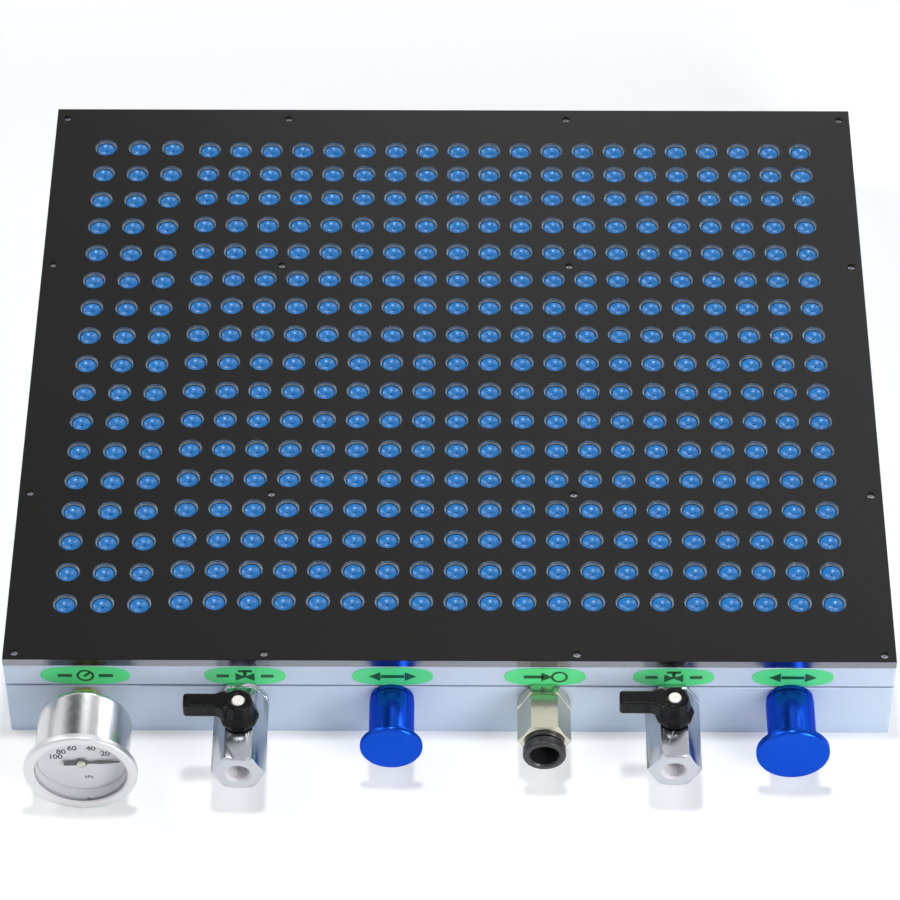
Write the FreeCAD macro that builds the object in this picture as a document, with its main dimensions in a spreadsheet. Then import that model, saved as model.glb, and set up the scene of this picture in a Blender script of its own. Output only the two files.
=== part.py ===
import FreeCAD, Part
import math
import os
import Sketcher

# Multi-hole vacuum chuck: a milled chamber, a drilled manifold plate and a black cover plate
# with a field of dished rubber pads. The fittings stand in a row on the front face: gauge,
# ball valve, pull valve, tube inlet, ball valve and pull valve.
# Frame: origin in the middle of the underside, +X to the right, +Y to the back, +Z up.

Vector = FreeCAD.Vector

SIZES = {
    # Plates, from the underside up
    "plate_width": 500.0,
    "plate_depth": 450.0,
    "plate_corner": 1.5,
    "plate_edge_break": 0.4,
    "base_height": 40.5,
    "gasket_thickness": 1.4,
    "gasket_setback": 1.5,
    "manifold_height": 16.1,
    "cover_height": 6.0,
    # Chamber milled into the base
    "chamber_floor": 10.0,
    "side_wall": 24.0,
    "front_wall": 30.0,
    "divider_wall": 8.0,
    "crossover_radius": 5.0,
    "pillar_radius": 12.0,
    "pillar_spacing_across": 160.0,
    "pillar_spacing_deep": 140.0,
    # Screws that pull the manifold plate down on the gasket, from below
    "base_screw_radius": 3.0,
    "base_screw_head_radius": 5.0,
    "base_screw_head_height": 6.0,
    "base_screw_head_recess": 7.0,
    "base_screw_socket_radius": 2.5,
    "base_screw_socket_depth": 3.0,
    "tapped_depth_spare": 1.0,
    "base_screw_grip": 9.0,
    "base_screw_inset": 12.0,
    "screw_clearance": 0.3,
    "tapped_clearance": 0.05,
    # Field of pads
    "pad_radius": 5.95,
    "pad_height": 4.2,
    "pad_lip": 0.5,
    "pad_dish": 1.6,
    "pad_bore_radius": 1.5,
    "pad_clearance": 0.05,
    "pad_ledge_radius": 6.8,
    "pad_ledge_depth": 1.8,
    "field_margin_side": 32.6,
    "field_margin_front": 40.0,
    "left_field_columns": 3,
    "left_field_pitch_across": 20.95,
    "left_field_margin_back": 35.7,
    "left_field_pitch_deep": 23.35,
    "field_gap_least": 22.0,
    "main_field_pitch_across": 19.46,
    "main_field_margin_back": 37.5,
    "back_rows": 3,
    "back_rows_pitch": 21.2,
    "back_rows_gap": 24.0,
    "main_field_pitch_deep": 23.31,
    # Channels in the manifold plate
    "channel_width": 4.0,
    "channel_depth": 3.0,
    "channel_end": 3.0,
    "drop_hole_radius": 2.0,
    "drop_column_left": 2,
    "drop_column_first": 8,
    "drop_column_second": 16,
    # Cord seal round the channels
    "cord_width": 2.2,
    "cord_height": 1.8,
    "cord_clearance": 0.1,
    "cord_inset_side": 16.0,
    "cord_inset_deep": 17.5,
    # Countersunk screws of the cover plate, in four rows of four
    "cover_screw_radius": 1.5,
    "cover_screw_head_radius": 2.2,
    "cover_screw_head_height": 1.3,
    "cover_screw_sink": 1.6,
    "cover_screw_grip": 8.0,
    "cover_screw_socket_radius": 1.2,
    "cover_screw_socket_depth": 0.9,
    "cover_screw_inset_side": 6.5,
    "cover_screw_inset_back": 8.6,
    "cover_screw_inset_front": 5.0,
    "screw_column_first": 3,
    "screw_column_second": 12,
    "screw_row_first": 5,
    "screw_row_second": 13,
    # Ports in the front wall
    "port_height": 31.0,
    "port_radius": 6.58,
    "port_drill_radius": 4.0,
    "thread_length": 12.0,
    "thread_clearance": 0.05,
    "washer_thickness": 0.6,
    "washer_radius": 10.4,
    # Vacuum gauge
    "gauge_inset": 45.5,
    "gauge_height": 32.0,
    "gauge_standoff": 16.0,
    "gauge_hex_flats": 17.0,
    "gauge_hex_start": 2.5,
    "gauge_hex_end": 13.0,
    "gauge_neck_radius": 6.0,
    "gauge_bore_radius": 1.5,
    "gauge_case_radius": 26.5,
    "gauge_case_wall": 1.2,
    "gauge_case_round": 5.0,
    "gauge_case_length": 36.75,
    "gauge_bezel_radius": 31.75,
    "gauge_bezel_length": 4.4,
    "gauge_bezel_lip": 1.6,
    "gauge_bezel_round": 1.5,
    "gauge_view_radius": 25.9,
    "gauge_window_radius": 28.6,
    "gauge_window_thickness": 2.0,
    "gauge_dial_radius": 25.0,
    "gauge_dial_thickness": 0.8,
    "gauge_dial_depth": 6.6,
    "gauge_needle_gap": 0.9,
    "gauge_needle_thickness": 0.6,
    "gauge_needle_tip": 21.5,
    "gauge_needle_point": 0.6,
    "gauge_needle_blade_at": 11.0,
    "gauge_needle_blade_width": 2.7,
    "gauge_needle_neck_at": 5.4,
    "gauge_needle_neck_width": 1.2,
    "gauge_needle_tail": 10.0,
    "gauge_needle_tail_width": 3.4,
    "gauge_needle_hub": 3.4,
    "gauge_arbor_radius": 0.8,
    "gauge_arbor_clearance": 0.05,
    "gauge_cap_radius": 2.6,
    "gauge_cap_height": 1.6,
    "gauge_needle_rest": 3.0,
    "gauge_tube_path": 19.5,
    "gauge_tube_radius": 2.4,
    "gauge_tube_angle": 255.0,
    "gauge_movement_radius": 11.0,
    "gauge_movement_plate": 1.5,
    "gauge_movement_length": 9.0,
    "gauge_post_radius": 1.4,
    "gauge_post_circle": 8.5,
    # Ball valves, one left and one right of the middle
    "left_valve_inset": 133.0,
    "left_valve_reach": 55.0,
    "right_valve_inset": 124.5,
    "right_valve_reach": 52.0,
    "valve_flats": 26.5,
    "valve_chamfer": 1.6,
    "valve_front_cone": 3.4,
    "valve_notch": 1.2,
    "valve_notch_depth": 2.4,
    "valve_tail_flange": 3.6,
    "valve_tail_boss_radius": 10.4,
    "valve_passage_radius": 4.5,
    "valve_female_radius": 6.58,
    "valve_female_length": 17.0,
    "valve_front_chamfer": 0.8,
    "valve_stem_to_front": 29.0,
    "valve_ball_radius": 8.3,
    "valve_ball_clearance": 0.35,
    "valve_ball_bore": 4.5,
    "valve_seat_inner": 5.2,
    "valve_seat_radius": 8.9,
    "valve_seat_depth": 2.2,
    "valve_seat_gap": 0.1,
    "valve_stem_radius": 3.0,
    "valve_stem_clearance": 0.05,
    "valve_stem_tang_width": 2.4,
    "valve_stem_tang_length": 4.8,
    "valve_stem_tang_depth": 1.8,
    "valve_tang_clearance": 0.1,
    "valve_gland_radius": 6.2,
    "valve_gland_height": 2.4,
    "lever_gap": 0.4,
    "lever_height": 14.0,
    "lever_facets": 10,
    "lever_foot_radius": 10.6,
    "lever_skirt_radius": 11.4,
    "lever_skirt_height": 3.0,
    "lever_waist_radius": 9.2,
    "lever_waist_height": 8.5,
    "lever_top_radius": 7.8,
    "lever_skirt_drop": 2.0,
    "lever_gland_clearance": 0.5,
    "lever_arm_width": 9.2,
    "lever_arm_height": 9.8,
    "lever_arm_length": 30.8,
    "lever_root_width": 13.6,
    "lever_root_start": 8.0,
    "lever_root_end": 13.0,
    "lever_tip_slant": 1.2,
    "lever_screw_radius": 3.7,
    "lever_screw_head": 2.0,
    "lever_screw_shank": 1.6,
    "lever_screw_length": 5.0,
    "lever_screw_recess": 0.3,
    # Pull valves with blue sleeves
    "left_pull_inset": 217.7,
    "left_pull_reach": 37.3,
    "left_pull_sleeve_radius": 12.75,
    "left_pull_disc_radius": 17.65,
    "left_pull_disc_thickness": 3.6,
    "right_pull_inset": 58.0,
    "right_pull_reach": 41.0,
    "right_pull_sleeve_radius": 13.65,
    "right_pull_disc_radius": 20.6,
    "right_pull_disc_thickness": 4.8,
    "pull_disc_round": 2.2,
    "pull_collar_thickness": 2.4,
    "pull_collar_gap": 0.8,
    "pull_collar_lip": 0.4,
    "pull_guide_radius": 9.0,
    "pull_guide_length": 18.0,
    "pull_sleeve_clearance": 0.3,
    "pull_bore_radius": 5.0,
    "pull_spool_clearance": 0.05,
    "pull_spool_tail": 6.0,
    "pull_front_gap": 1.0,
    "pull_ring_depth": 1.2,
    "pull_ring_width": 2.0,
    "pull_ring_first": 4.0,
    "pull_ring_spacing": 8.0,
    # Push-in tube inlet
    "inlet_inset": 196.7,
    "inlet_port_radius": 8.33,
    "inlet_flats": 26.0,
    "inlet_chamfer": 1.6,
    "inlet_front_cone": 3.0,
    "inlet_notch_at": 7.8,
    "inlet_notch": 1.5,
    "inlet_notch_depth": 3.0,
    "inlet_hex_length": 32.0,
    "inlet_passage_radius": 5.5,
    "inlet_tube_radius": 8.1,
    "inlet_tube_stop": 9.0,
    "inlet_socket_length": 10.0,
    "inlet_chamber_radius": 10.3,
    "inlet_seal_radius": 9.2,
    "inlet_seal_section": 1.1,
    "inlet_seal_gap": 0.02,
    "inlet_grip_thickness": 1.0,
    "inlet_collar_radius": 11.2,
    "inlet_collar_length": 2.4,
    "inlet_collar_seat": 4.0,
    "inlet_sleeve_radius": 12.15,
    "inlet_sleeve_flange": 5.6,
    "inlet_sleeve_round": 1.2,
    "inlet_sleeve_barrel": 9.35,
    "inlet_sleeve_clearance": 0.05,
    "inlet_sleeve_gap": 2.0,
    "inlet_sleeve_inside": 1.1,
    # Oval labels on the front of the manifold plate
    "label_width": 45.6,
    "label_height": 15.2,
    "label_thickness": 0.4,
    "label_centre_height": 50.2,
    "gauge_label_width": 50.3,
    "gauge_label_offset": 0.3,
    "left_valve_label_offset": 2.4,
    "left_pull_label_offset": 0.5,
    "inlet_label_offset": 0.5,
    "right_valve_label_offset": 0.4,
    "right_pull_label_offset": 0.7,
}


class Size:
    """A size: its formula on the sheet, for bound properties, and its number."""

    def __init__(self, formula, number):
        self.formula = formula
        self.number = number

    def __float__(self):
        return self.number

    def __int__(self):
        return int(self.number)

    def joined(self, sign, other, number):
        return Size("(%s %s %s)" % (formula_of(self), sign, formula_of(other)), number)

    def __add__(self, other):
        return self.joined("+", other, self.number + float(other))

    def __sub__(self, other):
        return self.joined("-", other, self.number - float(other))

    def __mul__(self, other):
        return self.joined("*", other, self.number * float(other))

    def __truediv__(self, other):
        return self.joined("/", other, self.number / float(other))

    def __neg__(self):
        return Size("(0 - %s)" % self.formula, -self.number)


def formula_of(size):
    if isinstance(size, Size):
        return size.formula
    return repr(float(size))


class Sheet:
    """The spreadsheet of driving sizes, read as sizes.name."""

    def __init__(self, document, values):
        cells = document.addObject("Spreadsheet::Sheet", "Dims")
        for row, (name, number) in enumerate(values.items(), start=1):
            cells.set("A%d" % row, name)
            cells.set("B%d" % row, str(number))
            cells.setAlias("B%d" % row, name)
        document.recompute()
        for name in values:
            setattr(self, name, Size("Dims.%s" % name, float(cells.get(name))))


doc = FreeCAD.newDocument("vacuum_chuck")
sizes = Sheet(doc, SIZES)
sub_parts = []
flush = 0.0

# A turned piece is drawn along its body's Y axis. These turn that axis out of the front
# face, or upright.
FACING_OUT = FreeCAD.Rotation(Vector(0, 0, 1), 180)
UPRIGHT = FreeCAD.Rotation(Vector(1, 0, 0), 90)
LEVEL = FreeCAD.Rotation()

front_face = -sizes.plate_depth / 2
back_face = sizes.plate_depth / 2
right_face = sizes.plate_width / 2
left_face = -sizes.plate_width / 2
gauge_across = left_face + sizes.gauge_inset
left_valve_across = left_face + sizes.left_valve_inset
left_pull_across = left_face + sizes.left_pull_inset
inlet_across = right_face - sizes.inlet_inset
right_valve_across = right_face - sizes.right_valve_inset
right_pull_across = right_face - sizes.right_pull_inset
gasket_level = sizes.base_height
manifold_level = gasket_level + sizes.gasket_thickness
cover_level = manifold_level + sizes.manifold_height
top_level = cover_level + sizes.cover_height


def keep(piece):
    """Add a finished piece to the sub-parts that are written out."""
    piece.Label = piece.Name
    sub_parts.append(piece)
    return piece


def bind(piece, prop, size):
    piece.setExpression(prop, formula_of(size))


def place(piece, x, y, z, rotation=LEVEL):
    piece.Placement = FreeCAD.Placement(Vector(float(x), float(y), float(z)), rotation)
    for axis, where in zip("xyz", (x, y, z)):
        bind(piece, "Placement.Base." + axis, where)


def new_sketch(body, name):
    plane = next(item for item in body.Origin.OriginFeatures if item.Role == "XY_Plane")
    sketch = body.newObject("Sketcher::SketchObject", name)
    sketch.AttachmentSupport = [(plane, "")]
    sketch.MapMode = "FlatFace"
    return sketch


def draw_outline(sketch, corners):
    """Draw a closed outline of straight lines with each corner held at its size."""
    points = [Vector(float(x), float(y), 0) for x, y in corners]
    count = len(points)
    for index in range(count):
        sketch.addGeometry(Part.LineSegment(points[index], points[(index + 1) % count]))
    for index in range(count):
        sketch.addConstraint(Sketcher.Constraint("Coincident", index, 2, (index + 1) % count, 1))
    for index, corner in enumerate(corners):
        for kind, axis_line, distance in (("DistanceX", -2, corner[0]), ("DistanceY", -1, corner[1])):
            if not isinstance(distance, Size):
                sketch.addConstraint(Sketcher.Constraint("PointOnObject", index, 1, axis_line))
                continue
            held = Sketcher.Constraint(kind, -1, 1, index, 1, float(distance))
            number = sketch.addConstraint(held)
            sketch.setExpression("Constraints[%d]" % number, distance.formula)


def ring_edges(shape, radius, height):
    """Names of the circular edges of a turned shape at a radius and a height on its axis."""
    names = []
    for number, edge in enumerate(shape.Edges, start=1):
        if not isinstance(edge.Curve, Part.Circle):
            continue
        same_radius = abs(edge.Curve.Radius - float(radius)) < 1e-4
        same_height = abs(edge.Curve.Center.y - float(height)) < 1e-4
        if same_radius and same_height:
            names.append("Edge%d" % number)
    return names


def turned(name, corners, x, y, z, rotation, rounds=()):
    """A lathe-turned body: an outline of (radius, length) spun about its length, then rounded."""
    body = doc.addObject("PartDesign::Body", name)
    sketch = new_sketch(body, name + "_outline")
    draw_outline(sketch, corners)
    feature = body.newObject("PartDesign::Revolution", name + "_spin")
    feature.Profile = sketch
    feature.ReferenceAxis = (sketch, ["V_Axis"])
    feature.Angle = 360
    doc.recompute()
    for number, (radius, height, size) in enumerate(rounds, start=1):
        edges = ring_edges(feature.Shape, radius, height)
        fillet = body.newObject("PartDesign::Fillet", "%s_round_%d" % (name, number))
        fillet.Base = (feature, edges)
        bind(fillet, "Radius", size)
        doc.recompute()
        feature = fillet
    place(body, x, y, z, rotation)
    return body


def padded(name, corners, thickness, x, y, z, rotation=LEVEL):
    """A body cut from plate: an outline of straight lines, padded along its Z axis."""
    body = doc.addObject("PartDesign::Body", name)
    sketch = new_sketch(body, name + "_outline")
    draw_outline(sketch, corners)
    feature = body.newObject("PartDesign::Pad", name + "_pad")
    feature.Profile = sketch
    bind(feature, "Length", thickness)
    place(body, x, y, z, rotation)
    return body


def upright_edges(shape):
    """Names of the straight edges of a padded shape that run along its Z axis."""
    names = []
    for number, edge in enumerate(shape.Edges, start=1):
        ends = [vertex.Point for vertex in edge.Vertexes]
        if len(ends) == 2 and (ends[1] - ends[0]).cross(Vector(0, 0, 1)).Length < 1e-6:
            names.append("Edge%d" % number)
    return names


def outline_edges(shape):
    """Names of the edges round the top and the underside of a padded shape."""
    return ["Edge%d" % number for number, edge in enumerate(shape.Edges, start=1)
            if edge.BoundBox.ZLength < 1e-6]


def plate(name, inset, thickness, level):
    """A rectangular plate with rounded corners, centred over the footprint."""
    half_width = right_face - inset
    half_depth = back_face - inset
    corners = [(-half_width, -half_depth), (half_width, -half_depth),
               (half_width, half_depth), (-half_width, half_depth)]
    body = padded(name, corners, thickness, 0, 0, level)
    doc.recompute()
    feature = body.Tip
    fillet = body.newObject("PartDesign::Fillet", name + "_corners")
    fillet.Base = (feature, upright_edges(feature.Shape))
    bind(fillet, "Radius", sizes.plate_corner)
    return body


def broken_plate(name, thickness, level):
    """A full-size plate whose top and bottom edges are broken by a small chamfer."""
    body = plate(name, flush, thickness, level)
    doc.recompute()
    feature = body.Tip
    chamfer = body.newObject("PartDesign::Chamfer", name + "_edges")
    chamfer.Base = (feature, outline_edges(feature.Shape))
    bind(chamfer, "Size", sizes.plate_edge_break)
    return body


def cylinder(name, radius, height, x, y, z, rotation=LEVEL):
    piece = doc.addObject("Part::Cylinder", name)
    bind(piece, "Radius", radius)
    bind(piece, "Height", height)
    place(piece, x, y, z, rotation)
    return piece


def box(name, length, width, height, x, y, z):
    """A box from its corner nearest the left, front and underside."""
    piece = doc.addObject("Part::Box", name)
    bind(piece, "Length", length)
    bind(piece, "Width", width)
    bind(piece, "Height", height)
    place(piece, x, y, z)
    return piece


def faceted(name, sides, rings, x, y):
    """A moulded form with flat sides: a ruled loft through polygons of (radius, height)."""
    sections = []
    for number, (radius, height) in enumerate(rings, start=1):
        section = doc.addObject("Part::RegularPolygon", "%s_section_%d" % (name, number))
        bind(section, "Polygon", sides)
        bind(section, "Circumradius", radius)
        place(section, x, y, height)
        sections.append(section)
    loft = doc.addObject("Part::Loft", name)
    loft.Sections = sections
    loft.Solid = True
    loft.Ruled = True
    return loft


def hexagon(name, flats, length, x, y, z):
    """A hexagonal bar out of the front face, with one flat on top."""
    piece = doc.addObject("Part::Prism", name)
    piece.Polygon = 6
    bind(piece, "Circumradius", flats / math.sqrt(3))
    bind(piece, "Height", length)
    place(piece, x, y, z, UPRIGHT)
    return piece


def cut(name, base, tool):
    piece = doc.addObject("Part::Cut", name)
    piece.Base = base
    piece.Tool = tool
    return piece


def fuse(name, pieces):
    piece = doc.addObject("Part::MultiFuse", name)
    piece.Shapes = pieces
    return piece


def common(name, base, tool):
    piece = doc.addObject("Part::Common", name)
    piece.Base = base
    piece.Tool = tool
    return piece


def group(name, shapes):
    """Shapes made in a loop, held as one feature of separate solids."""
    piece = doc.addObject("Part::Feature", name)
    piece.Shape = Part.makeCompound(shapes)
    return piece


def drill(radius, depth, x, y, z):
    """A hole's cylinder from z up, for a pattern of holes."""
    return Part.makeCylinder(float(radius), float(depth), Vector(float(x), float(y), float(z)))


def stepped_round(steps, x, y):
    """A round solid of (radius, low z, high z) steps, for a pattern of screws or holes."""
    shapes = [drill(radius, float(high) - float(low), x, y, low) for radius, low, high in steps]
    solid = shapes[0]
    for shape in shapes[1:]:
        solid = solid.fuse(shape)
    return solid.removeSplitter()


def places(first, pitch, least):
    """Places from the first one down to the least, a pitch apart."""
    count = int((float(first) - float(least)) / float(pitch)) + 1
    return [float(first) - float(pitch) * index for index in range(count)]


# The pads stand in two fields. The left field has its own pitch. The main field fills the
# rest from the right edge, and its back rows are closer together than the others.
left_field_edge = left_face + sizes.field_margin_side
left_columns = [float(left_field_edge + sizes.left_field_pitch_across * index)
                for index in range(int(sizes.left_field_columns))]
front_limit = front_face + sizes.field_margin_front
left_rows = places(back_face - sizes.left_field_margin_back, sizes.left_field_pitch_deep, front_limit)
main_columns = sorted(places(right_face - sizes.field_margin_side, sizes.main_field_pitch_across,
                             left_columns[-1] + float(sizes.field_gap_least)))
back_row_first = back_face - sizes.main_field_margin_back
back_rows = [float(back_row_first - sizes.back_rows_pitch * index) for index in range(int(sizes.back_rows))]
main_rows = back_rows + places(back_rows[-1] - float(sizes.back_rows_gap),
                               sizes.main_field_pitch_deep, front_limit)
pad_places = [(x, y) for x in left_columns for y in left_rows]
pad_places += [(x, y) for x in main_columns for y in main_rows]


def between(values, size):
    """The middle of the gap that follows the counted column or row."""
    index = int(size)
    return (values[index - 1] + values[index]) / 2


screw_columns = [float(left_face + sizes.cover_screw_inset_side),
                 between(main_columns, sizes.screw_column_first),
                 between(main_columns, sizes.screw_column_second),
                 float(right_face - sizes.cover_screw_inset_side)]
screw_rows = [float(back_face - sizes.cover_screw_inset_back),
              between(main_rows, sizes.screw_row_first),
              between(main_rows, sizes.screw_row_second),
              float(front_face + sizes.cover_screw_inset_front)]
cover_screw_places = [(x, y) for x in screw_columns for y in screw_rows]

pillar_across = sizes.pillar_spacing_across / 2
pillar_deep = sizes.pillar_spacing_deep / 2
base_screw_columns = [left_face + sizes.base_screw_inset, -pillar_across, pillar_across,
                      right_face - sizes.base_screw_inset]
base_screw_rows = [front_face + sizes.base_screw_inset, -pillar_deep, pillar_deep,
                   back_face - sizes.base_screw_inset]
base_screw_places = [(x, y) for x in base_screw_columns for y in base_screw_rows]

divider_middle = (left_columns[-1] + main_columns[0]) / 2

# Ports: name, place across, height and thread radius
PORTS = [
    ("gauge", gauge_across, sizes.gauge_height, sizes.port_radius),
    ("left_valve", left_valve_across, sizes.port_height, sizes.port_radius),
    ("left_pull", left_pull_across, sizes.port_height, sizes.port_radius),
    ("inlet", inlet_across, sizes.port_height, sizes.inlet_port_radius),
    ("right_valve", right_valve_across, sizes.port_height, sizes.port_radius),
    ("right_pull", right_pull_across, sizes.port_height, sizes.port_radius),
]
thread_radius = sizes.port_radius - sizes.thread_clearance
thread_start = front_face + sizes.thread_length


def chamber_shape():
    """The two milled chambers with the pillars left standing in the main one."""
    floor = float(sizes.chamber_floor)
    height = float(sizes.base_height) - floor
    low_y = float(front_face + sizes.front_wall)
    depth = float(back_face - sizes.side_wall) - low_y
    half_divider = float(sizes.divider_wall) / 2
    left = float(left_face + sizes.side_wall)
    right = float(right_face - sizes.side_wall)
    left_room = Part.makeBox(divider_middle - half_divider - left, depth, height,
                             Vector(left, low_y, floor))
    main_left = divider_middle + half_divider
    main_room = Part.makeBox(right - main_left, depth, height, Vector(main_left, low_y, floor))
    for x in (-pillar_across, pillar_across):
        for y in (-pillar_deep, pillar_deep):
            main_room = main_room.cut(drill(sizes.pillar_radius, height, x, y, floor))
    crossover = Part.makeCylinder(float(sizes.crossover_radius), main_left - left, Vector(left, 0,
                                  floor + height / 2), Vector(1, 0, 0))
    return [left_room, main_room, crossover]


def port_shapes():
    """The threaded port of each fitting, drilled on into the chamber."""
    shapes = []
    out = Vector(0, -1, 0)
    for name, across, height, radius in PORTS:
        bottom = float(thread_start + sizes.tapped_depth_spare)
        thread = Part.makeCylinder(float(radius), bottom - float(front_face),
                                   Vector(float(across), bottom, float(height)), out)
        drilled = Part.makeCylinder(float(sizes.port_drill_radius), float(sizes.front_wall),
                                    Vector(float(across), float(front_face + sizes.front_wall),
                                           float(height)), out)
        shapes += [thread, drilled]
    return shapes


def make_base():
    """Milled base with its chambers, ports and counterbored screw holes."""
    block = broken_plate("base_block", sizes.base_height, flush)
    recess_radius = sizes.base_screw_head_radius + sizes.screw_clearance
    hole_radius = sizes.base_screw_radius + sizes.screw_clearance
    holes = [stepped_round([(recess_radius, 0, sizes.base_screw_head_recess),
                            (hole_radius, 0, sizes.base_height)], x, y) for x, y in base_screw_places]
    tools = group("base_cutters", chamber_shape() + port_shapes() + holes)
    keep(cut("base_chamber", block, tools))


def make_gasket():
    """Flat gasket between base and manifold plate, open over the chambers."""
    sheet = plate("gasket_sheet", sizes.gasket_setback, sizes.gasket_thickness, gasket_level)
    low = float(gasket_level)
    thickness = float(sizes.gasket_thickness)
    openings = []
    for room in chamber_shape()[:2]:
        opened = room.copy()
        opened.translate(Vector(0, 0, low + thickness - room.BoundBox.ZMax))
        openings.append(opened)
    hole_radius = sizes.base_screw_radius + sizes.screw_clearance
    holes = [drill(hole_radius, thickness, x, y, low) for x, y in base_screw_places]
    keep(cut("base_gasket", sheet, group("gasket_cutters", openings + holes)))


def make_base_screws():
    """Cap screws from below: head in its recess, shank up into the manifold plate."""
    head_low = float(sizes.base_screw_head_recess - sizes.base_screw_head_height)
    head_high = float(sizes.base_screw_head_recess)
    end = float(manifold_level + sizes.base_screw_grip)
    screws = []
    for x, y in base_screw_places:
        screw = stepped_round([(sizes.base_screw_head_radius, head_low, head_high),
                               (sizes.base_screw_radius, head_low, end)], x, y)
        socket = drill(sizes.base_screw_socket_radius, sizes.base_screw_socket_depth, x, y, head_low)
        screws.append(screw.cut(socket))
    keep(group("base_screws", screws))


def channel_shapes():
    """A channel under each row of pads and the holes that drop from it to the chamber."""
    shapes = []
    fields = [(left_columns, left_rows, [left_columns[int(sizes.drop_column_left) - 1]]),
              (main_columns, main_rows, [main_columns[int(sizes.drop_column_first) - 1],
                                         main_columns[int(sizes.drop_column_second) - 1]])]
    width = float(sizes.channel_width)
    depth = float(sizes.channel_depth)
    end = float(sizes.channel_end)
    low = float(cover_level) - depth
    for columns, rows, drops in fields:
        length = columns[-1] - columns[0] + 2 * end
        for y in rows:
            channel = Part.makeBox(length, width, depth, Vector(columns[0] - end, y - width / 2, low))
            for x in drops:
                drop = drill(sizes.drop_hole_radius, float(sizes.manifold_height), x, y, manifold_level)
                channel = channel.fuse(drop)
            shapes.append(channel)
    return shapes


def cord_shape(clearance):
    """The rectangular ring of the cord seal, or of its groove with a clearance."""
    half_width = float(sizes.cord_width) / 2 + clearance
    height = float(sizes.cord_height)
    x = float(right_face - sizes.cord_inset_side)
    y = float(back_face - sizes.cord_inset_deep)
    low = float(cover_level) - height
    outer = Part.makeBox(2 * (x + half_width), 2 * (y + half_width), height,
                         Vector(-x - half_width, -y - half_width, low))
    inner = Part.makeBox(2 * (x - half_width), 2 * (y - half_width), height,
                         Vector(-x + half_width, -y + half_width, low))
    return outer.cut(inner)


def make_manifold():
    """Manifold plate with its channels, seal groove and tapped holes."""
    block = broken_plate("manifold_block", sizes.manifold_height, manifold_level)
    base_tap = sizes.base_screw_radius + sizes.tapped_clearance
    cover_tap = sizes.cover_screw_radius + sizes.tapped_clearance
    depth = sizes.cover_screw_grip + sizes.tapped_depth_spare
    base_depth = sizes.base_screw_grip + sizes.tapped_depth_spare
    taps = [drill(base_tap, base_depth, x, y, manifold_level) for x, y in base_screw_places]
    taps += [drill(cover_tap, depth, x, y, cover_level - depth) for x, y in cover_screw_places]
    tools = channel_shapes() + [cord_shape(float(sizes.cord_clearance))] + taps
    keep(cut("manifold_plate", block, group("manifold_cutters", tools)))
    keep(group("cover_seal", [cord_shape(0.0)]))


def make_cover():
    """Black cover plate: a ledged hole for each pad and countersinks for the screws."""
    block = broken_plate("cover_block", sizes.cover_height, cover_level)
    pad_hole = sizes.pad_radius + sizes.pad_clearance
    ledge_level = top_level - sizes.pad_ledge_depth
    holes = [stepped_round([(pad_hole, cover_level, top_level),
                            (sizes.pad_ledge_radius, ledge_level, top_level)], 0, 0)]
    tools = [holes[0].translated(Vector(x, y, 0)) for x, y in pad_places]
    head = sizes.cover_screw_head_radius + sizes.screw_clearance / 2
    shank = sizes.cover_screw_radius + sizes.screw_clearance
    sink_level = top_level - sizes.cover_screw_sink
    cone_level = sink_level - sizes.cover_screw_head_height
    cone = Part.makeCone(float(shank), float(head), float(sizes.cover_screw_head_height),
                         Vector(0, 0, float(cone_level)))
    countersink = drill(shank, sizes.cover_height, 0, 0, cover_level).fuse(cone)
    countersink = countersink.fuse(drill(head, sizes.cover_screw_sink, 0, 0, sink_level))
    countersink = countersink.removeSplitter()
    tools += [countersink.translated(Vector(x, y, 0)) for x, y in cover_screw_places]
    keep(cut("cover_plate", block, group("cover_cutters", tools)))


def make_cover_screws():
    """Countersunk screws with a hexagon socket, from the cover into the manifold plate."""
    top = float(top_level - sizes.cover_screw_sink)
    cone_low = top - float(sizes.cover_screw_head_height)
    end = float(cover_level - sizes.cover_screw_grip)
    head = Part.makeCone(float(sizes.cover_screw_radius), float(sizes.cover_screw_head_radius),
                         float(sizes.cover_screw_head_height), Vector(0, 0, cone_low))
    screw = head.fuse(drill(sizes.cover_screw_radius, cone_low - end, 0, 0, end))
    depth = float(sizes.cover_screw_socket_depth)
    radius = float(sizes.cover_screw_socket_radius)
    rim = [Vector(radius * math.cos(math.radians(angle)), radius * math.sin(math.radians(angle)),
                  top - depth) for angle in range(0, 420, 60)]
    socket = Part.Face(Part.makePolygon(rim)).extrude(Vector(0, 0, depth))
    screw = screw.cut(socket).removeSplitter()
    keep(group("cover_screws", [screw.translated(Vector(x, y, 0)) for x, y in cover_screw_places]))


def make_pads():
    """Dished rubber pads with a bore, one in each hole, standing on the manifold plate."""
    corners = [(sizes.pad_bore_radius, 0), (sizes.pad_radius, 0),
               (sizes.pad_radius, sizes.pad_height),
               (sizes.pad_radius - sizes.pad_lip, sizes.pad_height),
               (sizes.pad_bore_radius, sizes.pad_height - sizes.pad_dish)]
    pad = turned("one_pad", corners, 0, 0, cover_level, UPRIGHT)
    doc.recompute()
    keep(group("suction_pads", [pad.Shape.translated(Vector(x, y, 0)) for x, y in pad_places]))


def out_from_face(length):
    """Length along a fitting's own axis, which starts at the inner end of its thread."""
    return sizes.thread_length + length


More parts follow.
